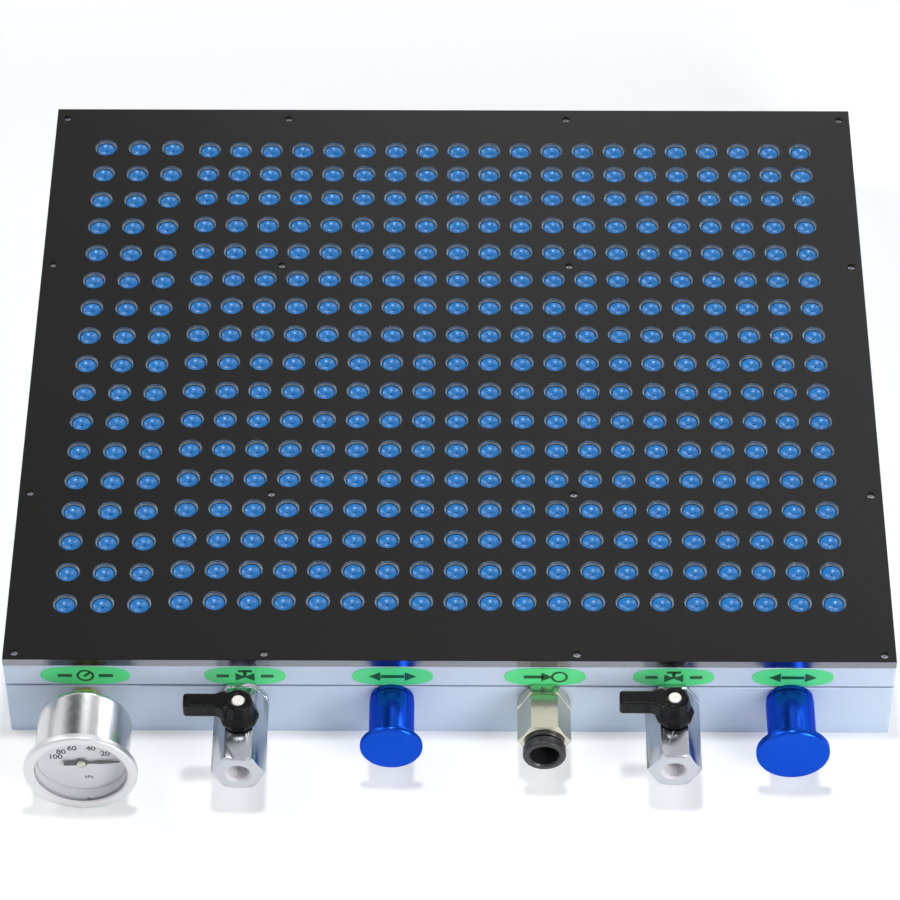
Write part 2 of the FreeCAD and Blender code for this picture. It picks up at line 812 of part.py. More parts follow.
def make_gauge():
    """Vacuum gauge with its socket, case, tube, movement, dial, needle, window and bezel."""
    x, z = gauge_across, sizes.gauge_height
    hex_start = out_from_face(sizes.gauge_hex_start)
    hex_end = out_from_face(sizes.gauge_hex_end)
    hex_corner = sizes.gauge_hex_flats / math.sqrt(3)
    neck = sizes.gauge_neck_radius
    bore = sizes.gauge_bore_radius
    case_back = front_face - sizes.gauge_standoff
    case_front = case_back - sizes.gauge_case_length
    dial_back = case_front + sizes.gauge_dial_depth
    movement_back = dial_back + sizes.gauge_movement_length
    block_end = thread_start - movement_back
    face = out_from_face(0)
    profile = [(bore, 0), (thread_radius, 0), (thread_radius, face), (neck, face), (neck, hex_start),
               (hex_corner, hex_start), (hex_corner, hex_end), (neck, hex_end), (neck, block_end),
               (bore, block_end)]
    turning = turned("gauge_socket_turning", profile, x, thread_start, z, FACING_OUT)
    bar = hexagon("gauge_socket_bar", sizes.gauge_hex_flats, block_end, x, thread_start, z)
    keep(common("gauge_socket", turning, bar))

    wall = sizes.gauge_case_wall
    radius = sizes.gauge_case_radius
    hole = neck + sizes.gauge_arbor_clearance
    length = sizes.gauge_case_length
    cup = [(hole, 0), (radius, 0), (radius, length), (radius - wall, length), (radius - wall, wall),
           (hole, wall)]
    inner_round = sizes.gauge_case_round - wall
    rounds = [(radius, 0, sizes.gauge_case_round), (radius - wall, wall, inner_round)]
    keep(turned("gauge_case", cup, x, case_back, z, FACING_OUT, rounds))

    bezel_front = sizes.gauge_bezel_length
    lip = sizes.gauge_bezel_lip
    case_seat = radius + sizes.thread_clearance
    seat_depth = bezel_front - lip - sizes.gauge_window_thickness - sizes.gauge_arbor_clearance
    window_seat = sizes.gauge_window_radius + sizes.gauge_arbor_clearance
    ring = [(case_seat, 0), (sizes.gauge_bezel_radius, 0), (sizes.gauge_bezel_radius, bezel_front),
            (sizes.gauge_view_radius, bezel_front), (sizes.gauge_view_radius, bezel_front - lip),
            (window_seat, bezel_front - lip), (window_seat, seat_depth), (case_seat, seat_depth)]
    bezel_back = case_front + seat_depth
    rounds = [(sizes.gauge_bezel_radius, bezel_front, sizes.gauge_bezel_round)]
    keep(turned("gauge_bezel", ring, x, bezel_back, z, FACING_OUT, rounds))
    keep(cylinder("gauge_window", sizes.gauge_window_radius, sizes.gauge_window_thickness,
                  x, case_front, z, UPRIGHT))

    arbor_hole = sizes.gauge_arbor_radius + sizes.gauge_arbor_clearance
    dial_front = dial_back - sizes.gauge_dial_thickness
    dial = [(arbor_hole, 0), (sizes.gauge_dial_radius, 0),
            (sizes.gauge_dial_radius, sizes.gauge_dial_thickness), (arbor_hole, sizes.gauge_dial_thickness)]
    keep(turned("gauge_dial", dial, x, dial_back, z, FACING_OUT))

    make_movement(x, z, dial_back, movement_back, arbor_hole)
    make_bourdon_tube(x, z, (case_back + movement_back) / 2 - sizes.gauge_tube_radius)
    make_needle(x, z, dial_front, movement_back)


def make_movement(x, z, front, back, hole):
    """Movement frame: two plates on four posts, with the arbor's bearing through both."""
    radius = sizes.gauge_movement_radius
    thin = sizes.gauge_movement_plate
    pieces = [cylinder("gauge_movement_front", radius, thin, x, front + thin, z, UPRIGHT),
              cylinder("gauge_movement_back", radius, thin, x, back, z, UPRIGHT)]
    for number in range(4):
        angle = math.radians(45 + 90 * number)
        across = x + sizes.gauge_post_circle * math.cos(angle)
        height = z + sizes.gauge_post_circle * math.sin(angle)
        pieces.append(cylinder("gauge_post_%d" % (number + 1), sizes.gauge_post_radius,
                               back - front, across, back, height, UPRIGHT))
    frame = fuse("gauge_movement_frame", pieces)
    bearing = cylinder("gauge_movement_bearing", hole, back - front, x, back, z, UPRIGHT)
    keep(cut("gauge_movement", frame, bearing))


def make_bourdon_tube(x, z, y):
    """Curved pressure tube, from a root block on the socket round to its free end."""
    tube = doc.addObject("Part::Torus", "gauge_tube_arc")
    bind(tube, "Radius1", sizes.gauge_tube_path)
    bind(tube, "Radius2", sizes.gauge_tube_radius)
    tube.Angle3 = float(sizes.gauge_tube_angle)
    bind(tube, "Angle3", sizes.gauge_tube_angle)
    turn = FreeCAD.Rotation(Vector(1, 0, 0), 90).multiply(FreeCAD.Rotation(Vector(0, 0, 1), -90))
    place(tube, x, y, z, turn)
    reach = sizes.gauge_tube_path + sizes.gauge_tube_radius
    width = sizes.gauge_tube_radius * 3
    neck_hole = sizes.gauge_neck_radius + sizes.gauge_arbor_clearance
    block = box("gauge_root_block", width, sizes.gauge_tube_radius * 2, reach, x - width,
                y - sizes.gauge_tube_radius, z - reach)
    root = cut("gauge_root", block, cylinder("gauge_root_hole", neck_hole, sizes.gauge_tube_radius * 2,
                                            x, y + sizes.gauge_tube_radius, z, UPRIGHT))
    keep(fuse("gauge_bourdon_tube", [tube, root]))


def make_needle(x, z, dial_front, movement_back):
    """Pointer with its arbor, resting at zero, and the brass cap over its hub."""
    back = dial_front - sizes.gauge_needle_gap
    thickness = sizes.gauge_needle_thickness
    edge = [(-sizes.gauge_needle_tail, sizes.gauge_needle_tail_width / 2),
            (-sizes.gauge_needle_hub, sizes.gauge_needle_tail_width / 2),
            (sizes.gauge_needle_neck_at, sizes.gauge_needle_neck_width / 2),
            (sizes.gauge_needle_blade_at, sizes.gauge_needle_blade_width / 2),
            (sizes.gauge_needle_tip, sizes.gauge_needle_point / 2)]
    corners = edge + [(reach, -half) for reach, half in reversed(edge)]
    tilt = FreeCAD.Rotation(Vector(0, 0, 1), float(sizes.gauge_needle_rest))
    pointer = padded("gauge_pointer", corners, thickness, x, back, z, UPRIGHT.multiply(tilt))
    hub = cylinder("gauge_needle_hub", sizes.gauge_needle_hub, thickness, x, back, z, UPRIGHT)
    arbor_length = movement_back - back + thickness
    arbor = cylinder("gauge_arbor", sizes.gauge_arbor_radius, arbor_length, x, movement_back, z, UPRIGHT)
    keep(fuse("gauge_needle", [pointer, hub, arbor]))
    cap_back = back - thickness
    corners = [(0, 0), (sizes.gauge_cap_radius, 0), (sizes.gauge_cap_radius, sizes.gauge_cap_height),
               (0, sizes.gauge_cap_height)]
    rounds = [(sizes.gauge_cap_radius, sizes.gauge_cap_height, sizes.gauge_cap_height / 2)]
    keep(turned("gauge_needle_cap", corners, x, cap_back, z, FACING_OUT, rounds))


def make_ball_valve(side, across, reach):
    """Hexagon-bar ball valve, shut, with its lever pointing left."""
    name = side + "_valve"
    z = sizes.port_height
    flange_end = out_from_face(sizes.valve_tail_flange)
    front = out_from_face(reach)
    middle = front - sizes.valve_stem_to_front
    corner = sizes.valve_flats / math.sqrt(3)
    chamfer = sizes.valve_chamfer
    ball = sizes.valve_ball_radius
    room = ball + sizes.valve_ball_clearance
    seat_outer = sizes.valve_seat_radius
    boss_end = middle - room
    seat_inner = sizes.valve_seat_inner
    passage = sizes.valve_passage_radius
    face = out_from_face(sizes.washer_thickness)
    boss = sizes.valve_tail_boss_radius
    seat_depth = sizes.valve_seat_depth
    seat_back = boss_end - seat_depth + sizes.valve_seat_gap

    waist = corner - sizes.valve_notch_depth
    tail = [(passage, 0), (thread_radius, 0), (thread_radius, face), (corner - chamfer, face),
            (corner, face + chamfer / 2), (corner, flange_end - sizes.valve_notch),
            (waist, flange_end), (boss, flange_end), (boss, boss_end),
            (seat_outer, boss_end), (seat_outer, seat_back), (passage, seat_back)]
    turning = turned(name + "_tail_turning", tail, across, thread_start, z, FACING_OUT)
    bar = hexagon(name + "_tail_bar", sizes.valve_flats, boss_end, across, thread_start, z)
    keep(common(name + "_tail", turning, bar))

    bore = boss + sizes.thread_clearance
    cavity_end = middle + room
    far_seat = cavity_end + seat_depth - sizes.valve_seat_gap
    thread_end = front - sizes.valve_female_length
    female = sizes.valve_female_radius
    lead = sizes.valve_front_chamfer
    body = [(bore, flange_end), (waist, flange_end), (corner, flange_end + sizes.valve_notch),
            (corner, front - sizes.valve_chamfer), (corner - sizes.valve_front_cone, front),
            (female + lead, front), (female, front - lead),
            (female, thread_end), (passage, thread_end), (passage, far_seat), (seat_outer, far_seat),
            (seat_outer, cavity_end), (room, cavity_end), (room, boss_end), (bore, boss_end)]
    turning = turned(name + "_body_turning", body, across, thread_start, z, FACING_OUT)
    bar = hexagon(name + "_body_bar", sizes.valve_flats, front, across, thread_start, z)
    shell = common(name + "_body_shell", turning, bar)
    stem_y = thread_start - middle
    top = z + sizes.valve_flats / 2
    gland_top = top + sizes.valve_gland_height
    gland = cylinder(name + "_gland", sizes.valve_gland_radius, gland_top - z - room, across, stem_y,
                     z + room)
    stem_hole = cylinder(name + "_stem_hole", sizes.valve_stem_radius + sizes.valve_stem_clearance,
                         gland_top - z, across, stem_y, z)
    keep(cut(name + "_body", fuse(name + "_body_solid", [shell, gland]), stem_hole))

    make_valve_ball(name, across, stem_y, z)
    make_valve_seats(name, across, z, stem_y, seat_outer)
    make_valve_stem(name, across, stem_y, z, gland_top)
    make_lever(name, across, stem_y, gland_top)


def make_valve_ball(name, across, y, z):
    """Ball with its bore across the flow, and a slot on top for the stem's tang."""
    radius = sizes.valve_ball_radius
    sphere = doc.addObject("Part::Sphere", name + "_ball_sphere")
    bind(sphere, "Radius", radius)
    place(sphere, across, y, z)
    bore = cylinder(name + "_ball_bore", sizes.valve_ball_bore, radius * 2, across - radius, y, z,
                    FreeCAD.Rotation(Vector(0, 1, 0), 90))
    width = sizes.valve_stem_tang_width + sizes.valve_tang_clearance * 2
    slot_floor = z + radius - sizes.valve_stem_tang_depth - sizes.valve_tang_clearance
    slot = box(name + "_ball_slot", radius * 2, width, radius, across - radius, y - width / 2, slot_floor)
    keep(cut(name + "_ball", sphere, fuse(name + "_ball_cutters", [bore, slot])))


def make_valve_seats(name, across, z, y, outer):
    """Two seat rings with a hollow face that follows the ball."""
    room = sizes.valve_ball_radius + sizes.valve_ball_clearance
    gap = sizes.valve_seat_gap
    depth = sizes.valve_seat_depth - gap
    ring = []
    for number, sign in enumerate((1, -1), start=1):
        start = y + room + depth if sign > 0 else y - room
        label = "%s_seat_%d" % (name, number)
        tube = cut(label + "_ring",
                   cylinder(label + "_outer", outer - sizes.thread_clearance, depth, across, start, z,
                            UPRIGHT),
                   cylinder(label + "_inner", sizes.valve_seat_inner, depth, across, start, z, UPRIGHT))
        ring.append(tube)
    hollow = doc.addObject("Part::Sphere", name + "_seat_hollow")
    bind(hollow, "Radius", sizes.valve_ball_radius + gap)
    place(hollow, across, y, z)
    keep(cut(name + "_seats", fuse(name + "_seat_rings", ring), hollow))


def make_valve_stem(name, across, y, z, gland_top):
    """Stem from its tang in the ball up into the lever's hub."""
    tang_depth = sizes.valve_stem_tang_depth
    tang_floor = z + sizes.valve_ball_radius - tang_depth
    shoulder = z + sizes.valve_ball_radius + sizes.valve_ball_clearance
    radius = sizes.valve_stem_radius
    top = gland_top + sizes.lever_gap + sizes.lever_height - sizes.lever_screw_recess
    stem_top = top - sizes.lever_screw_head
    rod = cylinder(name + "_stem_rod", radius, stem_top - shoulder, across, y, shoulder)
    width = sizes.valve_stem_tang_width
    chord = sizes.valve_stem_tang_length
    tang = box(name + "_stem_tang", chord, width, shoulder - tang_floor, across - chord / 2, y - width / 2,
               tang_floor)
    tapped = cylinder(name + "_stem_tap", sizes.lever_screw_shank + sizes.tapped_clearance,
                      sizes.lever_screw_length, across, y, stem_top - sizes.lever_screw_length)
    keep(cut(name + "_stem", fuse(name + "_stem_solid", [rod, tang]), tapped))


def make_lever(name, across, y, gland_top):
    """Moulded lever: a faceted skirt that narrows upwards, an arm to the left, and its screw."""
    low = gland_top + sizes.lever_gap
    foot = low - sizes.lever_skirt_drop
    top = low + sizes.lever_height
    rings = [(sizes.lever_foot_radius, foot),
             (sizes.lever_skirt_radius, foot + sizes.lever_skirt_height / 3),
             (sizes.lever_skirt_radius, foot + sizes.lever_skirt_height),
             (sizes.lever_waist_radius, foot + sizes.lever_waist_height),
             (sizes.lever_top_radius, top)]
    skirt = faceted(name + "_lever_skirt", sizes.lever_facets, rings, across, y)
    half = sizes.lever_arm_width / 2
    root = sizes.lever_root_width / 2
    slant = sizes.lever_tip_slant
    tip = -sizes.lever_arm_length
    near, far = -sizes.lever_root_start, -sizes.lever_root_end
    corners = [(0, -half), (near, -root), (far, -half), (tip + slant, -half), (tip, slant - half),
               (tip, half - slant), (tip + slant, half), (far, half), (near, root), (0, half)]
    arm = padded(name + "_lever_arm", corners, sizes.lever_arm_height, across, y,
                 top - sizes.lever_arm_height)
    solid = fuse(name + "_lever_solid", [skirt, arm])
    recess_radius = sizes.lever_screw_radius + sizes.screw_clearance
    stem_top = top - sizes.lever_screw_recess - sizes.lever_screw_head
    recess = cylinder(name + "_lever_recess", recess_radius, top - stem_top, across, y, stem_top)
    socket = cylinder(name + "_lever_socket", sizes.valve_stem_radius + sizes.thread_clearance,
                      stem_top - low, across, y, low)
    hollow = cylinder(name + "_lever_hollow", sizes.valve_gland_radius + sizes.lever_gland_clearance,
                      low - foot, across, y, foot)
    keep(cut(name + "_lever", solid, fuse(name + "_lever_cutters", [recess, socket, hollow])))
    head = cylinder(name + "_screw_head", sizes.lever_screw_radius, sizes.lever_screw_head, across, y,
                    stem_top)
    shank_length = sizes.lever_screw_length - sizes.valve_tang_clearance
    shank = cylinder(name + "_screw_shank", sizes.lever_screw_shank, shank_length, across, y,
                     stem_top - shank_length)
    keep(fuse(name + "_lever_screw", [head, shank]))


def make_pull_valve(side, across, reach, sleeve_radius, disc_radius, disc_thickness):
    """Pull valve, pushed home: fixed housing, sealed spool and a blue sleeve with a disc."""
    name = side + "_pull"
    z = sizes.port_height
    face = out_from_face(sizes.washer_thickness)
    collar_end = face + sizes.pull_collar_thickness
    guide_end = collar_end + sizes.pull_guide_length
    bore = sizes.pull_bore_radius
    collar = sleeve_radius - sizes.pull_collar_lip
    guide = sizes.pull_guide_radius
    housing = [(bore, 0), (thread_radius, 0), (thread_radius, face), (collar, face), (collar, collar_end),
               (guide, collar_end), (guide, guide_end), (bore, guide_end)]
    keep(turned(name + "_housing", housing, across, thread_start, z, FACING_OUT))

    sleeve_back = collar_end + sizes.pull_collar_gap
    front = out_from_face(reach)
    disc_back = front - disc_thickness
    inner_end = guide_end + sizes.pull_front_gap
    inner = guide + sizes.pull_sleeve_clearance
    sleeve = [(inner, sleeve_back), (sleeve_radius, sleeve_back), (sleeve_radius, disc_back),
              (disc_radius, disc_back), (disc_radius, front), (0, front), (0, inner_end),
              (inner, inner_end)]
    rounds = [(disc_radius, front, sizes.pull_disc_round)]
    keep(turned(name + "_knob", sleeve, across, thread_start, z, FACING_OUT, rounds))

    spool = bore - sizes.pull_spool_clearance
    waist = spool - sizes.pull_ring_depth
    start = sizes.pull_spool_tail
    outline = [(0, start), (spool, start)]
    for index in range(2):
        ring_start = start + sizes.pull_ring_first + sizes.pull_ring_spacing * index
        ring_end = ring_start + sizes.pull_ring_width
        outline += [(spool, ring_start), (waist, ring_start), (waist, ring_end), (spool, ring_end)]
    outline += [(spool, inner_end), (0, inner_end)]
    keep(turned(name + "_spool", outline, across, thread_start, z, FACING_OUT))
    keep(fuse(name + "_seals", pull_seals(name, across, z, waist, spool, start)))


def pull_seals(name, across, z, waist, spool, start):
    """The two seal rings that lie in the grooves of a spool."""
    rings = []
    for index in range(2):
        side_gap = sizes.pull_spool_clearance
        ring_start = start + sizes.pull_ring_first + sizes.pull_ring_spacing * index + side_gap
        ring_end = ring_start + sizes.pull_ring_width - side_gap * 2
        inner = waist + side_gap
        outline = [(inner, ring_start), (spool, ring_start), (spool, ring_end), (inner, ring_end)]
        rings.append(turned("%s_seal_%d" % (name, index + 1), outline, across, thread_start, z,
                            FACING_OUT))
    return rings


def make_inlet():
    """Push-in tube fitting: hexagon body, seal, grip ring, collar and release sleeve."""
    x, z = inlet_across, sizes.port_height
    face = out_from_face(sizes.washer_thickness)
    thread = sizes.inlet_port_radius - sizes.thread_clearance
    corner = sizes.inlet_flats / math.sqrt(3)
    chamfer = sizes.inlet_chamfer
    notch_at = out_from_face(sizes.inlet_notch_at)
    notch = sizes.inlet_notch
    front = out_from_face(sizes.inlet_hex_length)
    passage = sizes.inlet_passage_radius
    tube = sizes.inlet_tube_radius
    stop = out_from_face(sizes.inlet_tube_stop)
    socket_end = stop + sizes.inlet_socket_length
    chamber = sizes.inlet_chamber_radius
    seat = front - sizes.inlet_collar_seat
    collar_seat = sizes.inlet_collar_radius
    outline = [(passage, 0), (thread, 0), (thread, face), (corner - chamfer, face),
               (corner, face + chamfer / 2), (corner, notch_at - notch),
               (corner - sizes.inlet_notch_depth, notch_at), (corner, notch_at + notch),
               (corner, front - chamfer), (corner - sizes.inlet_front_cone, front),
               (collar_seat, front), (collar_seat, seat), (chamber, seat), (chamber, socket_end),
               (tube, socket_end), (tube, stop), (passage, stop)]
    turning = turned("inlet_body_turning", outline, x, thread_start, z, FACING_OUT)
    bar = hexagon("inlet_body_bar", sizes.inlet_flats, front, x, thread_start, z)
    keep(common("inlet_body", turning, bar))

    seal = doc.addObject("Part::Torus", "inlet_seal")
    bind(seal, "Radius1", sizes.inlet_seal_radius)
    bind(seal, "Radius2", sizes.inlet_seal_section - sizes.inlet_seal_gap)
    seal_middle = socket_end + sizes.inlet_seal_section
    place(seal, x, thread_start - seal_middle, z, UPRIGHT)
    keep(seal)

    grip_start = seal_middle + sizes.inlet_seal_section
    grip_end = grip_start + sizes.inlet_grip_thickness
    grip = [(tube, grip_end), (chamber - sizes.thread_clearance, grip_start),
            (chamber - sizes.thread_clearance, grip_end), (tube, grip_end + sizes.inlet_grip_thickness)]
    keep(turned("inlet_grip_ring", grip, x, thread_start, z, FACING_OUT))

    barrel = sizes.inlet_sleeve_barrel
    clear = barrel + sizes.inlet_sleeve_clearance
    rim = collar_seat - sizes.thread_clearance
    collar_front = front + sizes.inlet_collar_length
    collar = [(clear, seat), (rim, seat), (rim, collar_front), (clear, collar_front)]
    keep(turned("inlet_collar", collar, x, thread_start, z, FACING_OUT))

    flange_back = collar_front + sizes.inlet_sleeve_gap
    flange_front = flange_back + sizes.inlet_sleeve_flange
    hole = tube + sizes.inlet_sleeve_clearance
    inner_end = seat - sizes.inlet_sleeve_inside
    sleeve = [(hole, inner_end), (barrel, inner_end), (barrel, flange_back),
              (sizes.inlet_sleeve_radius, flange_back), (sizes.inlet_sleeve_radius, flange_front),
              (hole, flange_front)]
    rounds = [(sizes.inlet_sleeve_radius, flange_front, sizes.inlet_sleeve_round)]
    keep(turned("inlet_sleeve", sleeve, x, thread_start, z, FACING_OUT, rounds))


def make_washers():
    """Sealing washers between the front face and each fitting that has a flange."""
    rings = []
    for name, across, height, radius in PORTS:
        if name == "gauge":
            continue
        inner = radius + sizes.thread_clearance
        outline = [(inner, 0), (sizes.washer_radius, 0), (sizes.washer_radius, sizes.washer_thickness),
                   (inner, sizes.washer_thickness)]
        rings.append(turned(name + "_washer", outline, across, front_face, height, FACING_OUT))
    keep(fuse("port_washers", rings))


def make_label(name, across, width):
    """Oval label stuck to the front of the manifold plate."""
    oval = Part.Ellipse(Vector(0, 0, 0), float(width) / 2, float(sizes.label_height) / 2)
    face = Part.Face(Part.Wire(oval.toShape()))
    label = doc.addObject("Part::Feature", name)
    label.Shape = face.extrude(Vector(0, 0, float(sizes.label_thickness)))
    place(label, across, front_face, sizes.label_centre_height, UPRIGHT)
    keep(label)


make_base()
make_gasket()
make_base_screws()
make_manifold()
make_cover()
make_cover_screws()
make_pads()
make_gauge()
make_ball_valve("left", left_valve_across, sizes.left_valve_reach)
make_ball_valve("right", right_valve_across, sizes.right_valve_reach)
make_pull_valve("left", left_pull_across, sizes.left_pull_reach, sizes.left_pull_sleeve_radius,
                sizes.left_pull_disc_radius, sizes.left_pull_disc_thickness)
make_pull_valve("right", right_pull_across, sizes.right_pull_reach, sizes.right_pull_sleeve_radius,
                sizes.right_pull_disc_radius, sizes.right_pull_disc_thickness)
make_inlet()
make_washers()
make_label("label_gauge", gauge_across + sizes.gauge_label_offset, sizes.gauge_label_width)
make_label("label_left_valve", left_valve_across + sizes.left_valve_label_offset, sizes.label_width)
make_label("label_left_pull", left_pull_across + sizes.left_pull_label_offset, sizes.label_width)
make_label("label_inlet", inlet_across + sizes.inlet_label_offset, sizes.label_width)
make_label("label_right_valve", right_valve_across + sizes.right_valve_label_offset, sizes.label_width)
make_label("label_right_pull", right_pull_across + sizes.right_pull_label_offset, sizes.label_width)

doc.recompute()
for item in doc.Objects:
    if "Invalid" in item.State or "Error" in item.State:
        raise RuntimeError("%s did not build: %s" % (item.Label, item.State))
for piece in sub_parts:
    if piece.Shape.isNull() or not piece.Shape.isValid():
        raise RuntimeError("%s has no valid shape" % piece.Label)

os.makedirs("parts", exist_ok=True)
for piece in sub_parts:
    piece.Shape.exportStep("parts/%s.step" % piece.Label)
    print("%s: %d solids, %.1f mm3" % (piece.Label, len(piece.Shape.Solids), piece.Shape.Volume))
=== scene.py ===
import contextlib
import math

import bmesh
import bpy
from bpy.props import FloatProperty, FloatVectorProperty, IntProperty, PointerProperty
from bpy.types import Operator, Panel, PropertyGroup
from mathutils import Matrix, Vector


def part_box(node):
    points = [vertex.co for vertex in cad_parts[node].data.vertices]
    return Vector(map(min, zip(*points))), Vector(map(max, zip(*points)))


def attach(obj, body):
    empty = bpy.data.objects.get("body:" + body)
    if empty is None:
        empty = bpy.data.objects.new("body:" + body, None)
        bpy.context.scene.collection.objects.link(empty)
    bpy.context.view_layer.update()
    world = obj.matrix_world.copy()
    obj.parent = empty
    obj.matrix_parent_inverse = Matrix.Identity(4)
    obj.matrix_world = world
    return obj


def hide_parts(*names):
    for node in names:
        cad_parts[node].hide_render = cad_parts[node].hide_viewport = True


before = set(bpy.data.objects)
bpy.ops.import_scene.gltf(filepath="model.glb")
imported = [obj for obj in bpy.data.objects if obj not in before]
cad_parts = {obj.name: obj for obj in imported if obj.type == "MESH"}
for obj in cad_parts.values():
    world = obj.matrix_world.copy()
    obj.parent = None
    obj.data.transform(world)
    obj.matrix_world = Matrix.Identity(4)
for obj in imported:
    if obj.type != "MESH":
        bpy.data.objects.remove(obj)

bl_info = {
    "name": "Multi-hole vacuum chuck",
    "version": (1, 0, 0),
    "blender": (4, 5, 0),
    "location": "3D View > Sidebar > Chuck",
    "description": "Models and finishes the pieces of a flat vacuum chuck over its solids",
    "category": "Object",
}

MM = 0.001
OUT = Vector((0.0, -1.0, 0.0))
UP = Vector((0.0, 0.0, 1.0))
ACROSS = Vector((1.0, 0.0, 0.0))
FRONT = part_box("base_chamber")[0].y
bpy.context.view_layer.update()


# Sizes and colours that a user would change

def linear(code):
    """An sRGB hex value as linear red, green, blue and alpha."""
    values = [int(code[start:start + 2], 16) / 255.0 for start in (1, 3, 5)]
    return tuple(v / 12.92 if v <= 0.04045 else ((v + 0.055) / 1.055) ** 2.4 for v in values) + (1.0,)


def length(name, description, millimetres):
    """A length property whose default is given in millimetres."""
    return FloatProperty(name=name, description=description, default=millimetres * MM,
                         min=0.0, precision=5, subtype="DISTANCE", unit="LENGTH")


def colour(name, description, code):
    """A colour property whose default is given as an sRGB hex value."""
    return FloatVectorProperty(name=name, description=description, default=linear(code),
                               size=4, min=0.0, max=1.0, subtype="COLOR")


def power(name, description, watts):
    """A property for a lamp's power."""
    return FloatProperty(name=name, description=description, default=watts, min=0.0, unit="POWER")


class ChuckSizes(PropertyGroup):
    """Sizes of the drilled cover and of what is added to the bare solids"""
    pad_radius: length("Pad radius", "Radius of one rubber pad", 5.95)
    pad_bore: length("Pad bore", "Radius of the hole through one pad at its mouth", 0.5)
    pad_throat: length("Pad throat", "Radius of the hole through one pad at its narrowest", 0.3)
    pad_lip: length("Pad lip", "Width of the rounded ring round the dish", 0.9)
    pad_dish: length("Pad dish", "Depth of the dish in one pad", 1.6)
    ledge_radius: length("Counterbore radius", "Radius of the wide part of one hole", 6.8)
    hole_edge: length("Hole edge", "Width of the bare chamfer round one hole", 0.04)
    left_pitch_across: length("Left pitch across", "Pad spacing across the left field", 20.95)
    left_pitch_deep: length("Left pitch deep", "Pad spacing from front to back on the left", 23.35)
    main_pitch_across: length("Main pitch across", "Pad spacing across the main field", 19.46)
    back_pitch_deep: length("Back pitch deep", "Spacing of the three back rows", 21.2)
    back_rows_gap: length("Gap to the front rows", "Spacing from the back rows to the rest", 24.0)
    main_pitch_deep: length("Main pitch deep", "Spacing of the fourteen front rows", 23.31)
    edge_break: length("Edge break", "Bevel that takes the burr off a machined edge", 0.4)
    plate_corner: length("Plate corner", "Radius of the cover plate's upright edges", 1.5)
    thread_pitch: length("Thread pitch", "Pitch of the thread in the valve outlets", 1.34)
    round_steps: IntProperty(name="Steps round", description="Faces round a turned piece",
                             default=72, min=24, max=128)
    pad_steps: IntProperty(name="Steps round a pad", description="Faces round one pad",
                           default=16, min=12, max=24)


class ChuckColours(PropertyGroup):
    """Colours of the finishes"""
    cover: colour("Cover", "Black anodised top of the cover plate", "#191918")
    cover_edge: colour("Cover edge", "Polished edge of the cover plate", "#8c8e94")
    bare_hole: colour("Bare hole", "Bare metal in the drilled holes", "#9aa3aa")
    plate: colour("Plates", "Blasted aluminium of base and manifold", "#c6d4e6")
    pad: colour("Pads", "Rubber of the suction pads", "#1176c1")
    knob: colour("Pull knobs", "Anodised sleeves of the pull valves", "#164ac4")
    label: colour("Labels", "Ground of the labels", "#55e08a")
    mark: colour("Label marks", "Pictograms on the labels", "#14542a")
    dial: colour("Dial", "Printed face of the gauge", "#e4e1e6")


class ChuckStudio(PropertyGroup):
    """Camera and lamps"""
    camera_place: FloatVectorProperty(name="Camera", description="Where the camera stands",
                                      default=(0.01063, -1.66468, 1.82171), subtype="XYZ", unit="LENGTH")
    camera_aim: FloatVectorProperty(name="Aim", description="The point in the middle of the view",
                                    default=(-0.00043, -0.06609, 0.064), subtype="XYZ", unit="LENGTH")
    camera_roll: FloatProperty(name="Roll", description="Turn of the camera about its line of sight",
                               default=math.radians(-0.1163), subtype="ANGLE", unit="ROTATION")
    camera_lens: FloatProperty(name="Lens", description="Focal length in millimetres",
                               default=162.54, min=1.0)
    top_power: power("Top lamp", "Power of the lamp straight above", 16.0)
    key_power: power("Key lamp", "Power of the lamp above the left side", 8.0)
    side_power: power("Side lamp", "Power of the small lamp close behind on the right", 1.4)
    panel_power: power("Panel", "Power of the soft panel high behind the plate", 1.8)
    low_power: power("Low lamp", "Power of the lamp low behind the plate", 12.0)
    fill_power: power("Fill lamp", "Power of the lamp in front on the right", 12.0)


# Modelling

@contextlib.contextmanager
def editing(piece):
    """Edit mode on one piece, with all of it selected."""
    choose(piece)
    bpy.ops.object.mode_set(mode="EDIT")
    bpy.ops.mesh.select_all(action="SELECT")
    yield
    bpy.ops.object.mode_set(mode="OBJECT")


def choose(piece, *others):
    """Selects these pieces alone, the first one active."""
    bpy.ops.object.select_all(action="DESELECT")
    for each in (piece, *others):
        each.select_set(True)
    bpy.context.view_layer.objects.active = piece


def added(name, primitive, **settings):
    """A new primitive, with its place in its mesh."""
    bpy.ops.object.select_all(action="DESELECT")
    primitive(**settings)
    piece = bpy.context.active_object
    piece.name = name
    piece.data.name = name
    bpy.ops.object.transform_apply(location=True, rotation=True, scale=True)
    return piece


def select_faces(piece, wanted):
    """In edit mode, selects the faces whose centre and normal pass a test."""
    bpy.ops.mesh.select_all(action="DESELECT")
    mesh = bmesh.from_edit_mesh(piece.data)
    for face in mesh.faces:
        face.select_set(wanted(face.calc_center_median(), face.normal))
    bmesh.update_edit_mesh(piece.data)


def select_edges(piece, wanted):
    """In edit mode, selects the edges whose two ends pass a test."""
    bpy.ops.mesh.select_all(action="DESELECT")
    mesh = bmesh.from_edit_mesh(piece.data)
    for edge in mesh.edges:
        edge.select_set(wanted(edge.verts[0].co, edge.verts[1].co))
    bmesh.update_edit_mesh(piece.data)


def block(name, low, high):
    """A block between two corners."""
    piece = added(name, bpy.ops.mesh.primitive_cube_add, size=1.0, location=(low + high) / 2)
    with editing(piece):
        bpy.ops.transform.resize(value=high - low, center_override=(low + high) / 2)
    return piece


